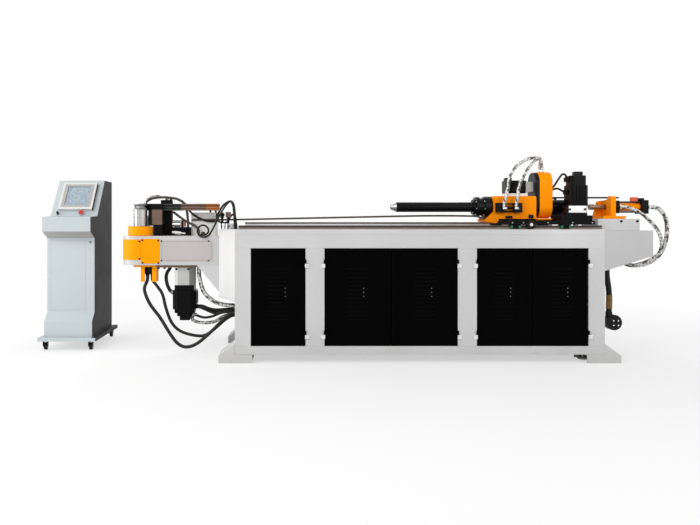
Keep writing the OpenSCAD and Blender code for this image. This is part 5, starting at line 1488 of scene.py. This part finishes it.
class BENDER_OT_studio(Operator):
    """Lay the pale floor and set the lamps and the white surround"""

    bl_idname = "bender.studio"
    bl_label = "Floor and light"

    def hung(self, name, data, at, towards):
        """Hangs a lamp and turns it to a point."""
        lamp = bpy.data.objects.new(name, data)
        lamp.location = at
        lamp.rotation_euler = (Vector(towards) - Vector(at)).to_track_quat("-Z", "Y").to_euler()
        bpy.context.scene.collection.objects.link(lamp)

    def lamps(self):
        for name, at, towards, size, power in LAMPS:
            data = bpy.data.lights.new(name, "AREA")
            data.shape = "RECTANGLE"
            data.size, data.size_y = size
            data.energy = power
            self.hung(name, data, at, towards)
        # A narrow lamp on the silver base of the feed motor and the tail, which are bright in the photograph
        spot = bpy.data.lights.new("tail_spot", "SPOT")
        spot.energy = 230
        spot.spot_size = math.radians(16)
        spot.spot_blend = 0.7
        spot.shadow_soft_size = 0.3
        self.hung("tail_spot", spot, (-0.6, -4.0, 2.9), (1.42, 0, 1.29))

    def floor(self):
        """A floor that takes shadows near the machine and fades to white, for the camera, further out."""
        deselect()
        bpy.ops.mesh.primitive_plane_add(size=40, location=(-0.8, 5, 0))
        floor = fixed(active())
        floor.name = "studio_floor"
        white = bpy.data.materials.new("studio_floor")
        white.use_nodes = True
        tree = white.node_tree
        shader, out = tree.nodes["Principled BSDF"], tree.nodes["Material Output"]
        shader.inputs["Base Color"].default_value = (0.88, 0.88, 0.88, 1)
        shader.inputs["Roughness"].default_value = 0.7
        glow = tree.nodes.new("ShaderNodeEmission")
        place = tree.nodes.new("ShaderNodeTexCoord")
        middle = tree.nodes.new("ShaderNodeMapping")
        middle.inputs["Location"].default_value = (0.5, 0, 0)
        reach = operation(tree, "ShaderNodeVectorMath", "LENGTH")
        fade = tree.nodes.new("ShaderNodeMapRange")
        fade.inputs["From Min"].default_value = 2.6
        fade.inputs["From Max"].default_value = 5.4
        fade.inputs["To Min"].default_value = 0.55
        rays = tree.nodes.new("ShaderNodeLightPath")
        seen = operation(tree, "ShaderNodeMath", "MULTIPLY")
        mixed = tree.nodes.new("ShaderNodeMixShader")
        for start, end in (
                (place.outputs["Object"], middle.inputs["Vector"]), (middle.outputs[0], reach.inputs[0]),
                (reach.outputs["Value"], fade.inputs["Value"]), (fade.outputs[0], seen.inputs[0]),
                (rays.outputs["Is Camera Ray"], seen.inputs[1]), (seen.outputs[0], mixed.inputs[0]),
                (shader.outputs[0], mixed.inputs[1]), (glow.outputs[0], mixed.inputs[2]),
                (mixed.outputs[0], out.inputs["Surface"])):
            tree.links.new(start, end)
        floor.data.materials.append(white)

    def surround(self):
        """White for the camera and for what metal and glass reflect, and dimmer as a light."""
        world = bpy.data.worlds.new("studio")
        world.use_nodes = True
        bpy.context.scene.world = world
        tree = world.node_tree
        light, seen = tree.nodes["Background"], tree.nodes.new("ShaderNodeBackground")
        for shader, strength in ((light, 0.62), (seen, 1.0)):
            shader.inputs["Color"].default_value = (1, 1, 1, 1)
            shader.inputs["Strength"].default_value = strength
        rays = tree.nodes.new("ShaderNodeLightPath")
        straight = operation(tree, "ShaderNodeMath", "MAXIMUM")
        any_ray = operation(tree, "ShaderNodeMath", "MAXIMUM")
        mixed = tree.nodes.new("ShaderNodeMixShader")
        for start, end in (
                (rays.outputs["Is Camera Ray"], straight.inputs[0]),
                (rays.outputs["Is Glossy Ray"], straight.inputs[1]),
                (straight.outputs[0], any_ray.inputs[0]),
                (rays.outputs["Is Transmission Ray"], any_ray.inputs[1]),
                (any_ray.outputs[0], mixed.inputs[0]), (light.outputs[0], mixed.inputs[1]),
                (seen.outputs[0], mixed.inputs[2]),
                (mixed.outputs[0], tree.nodes["World Output"].inputs["Surface"])):
            tree.links.new(start, end)

    def execute(self, context):
        self.floor()
        self.surround()
        self.lamps()
        context.scene.view_settings.view_transform = "Standard"
        return {"FINISHED"}


# The panel and the registration

OPERATORS = (
    BENDER_OT_camera, BENDER_OT_hoses, BENDER_OT_cabinet, BENDER_OT_doors, BENDER_OT_head,
    BENDER_OT_carriage, BENDER_OT_tail, BENDER_OT_console, BENDER_OT_plug, BENDER_OT_studio,
)


class BENDER_PT_panel(Panel):
    """Lists the pieces of the machine in the sidebar"""

    bl_idname = "BENDER_PT_panel"
    bl_label = "Pipe bending machine"
    bl_space_type = "VIEW_3D"
    bl_region_type = "UI"
    bl_category = "Bender"

    def draw(self, context):
        for settings in (sizes(), colours()):
            for name in settings.__annotations__:
                self.layout.prop(settings, name)
        for operator in OPERATORS:
            self.layout.operator(operator.bl_idname)


CLASSES = (BenderSizes, BenderColours) + OPERATORS + (BENDER_PT_panel,)


def register():
    for item in CLASSES:
        bpy.utils.register_class(item)
    bpy.types.Scene.bender_sizes = PointerProperty(type=BenderSizes)
    bpy.types.Scene.bender_colours = PointerProperty(type=BenderColours)


def unregister():
    del bpy.types.Scene.bender_sizes
    del bpy.types.Scene.bender_colours
    for item in reversed(CLASSES):
        bpy.utils.unregister_class(item)


def main():
    register()
    for operator in OPERATORS:
        family, name = operator.bl_idname.split(".")
        getattr(getattr(bpy.ops, family), name)()
    bpy.context.view_layer.update()


if __name__ == "__main__":
    main()
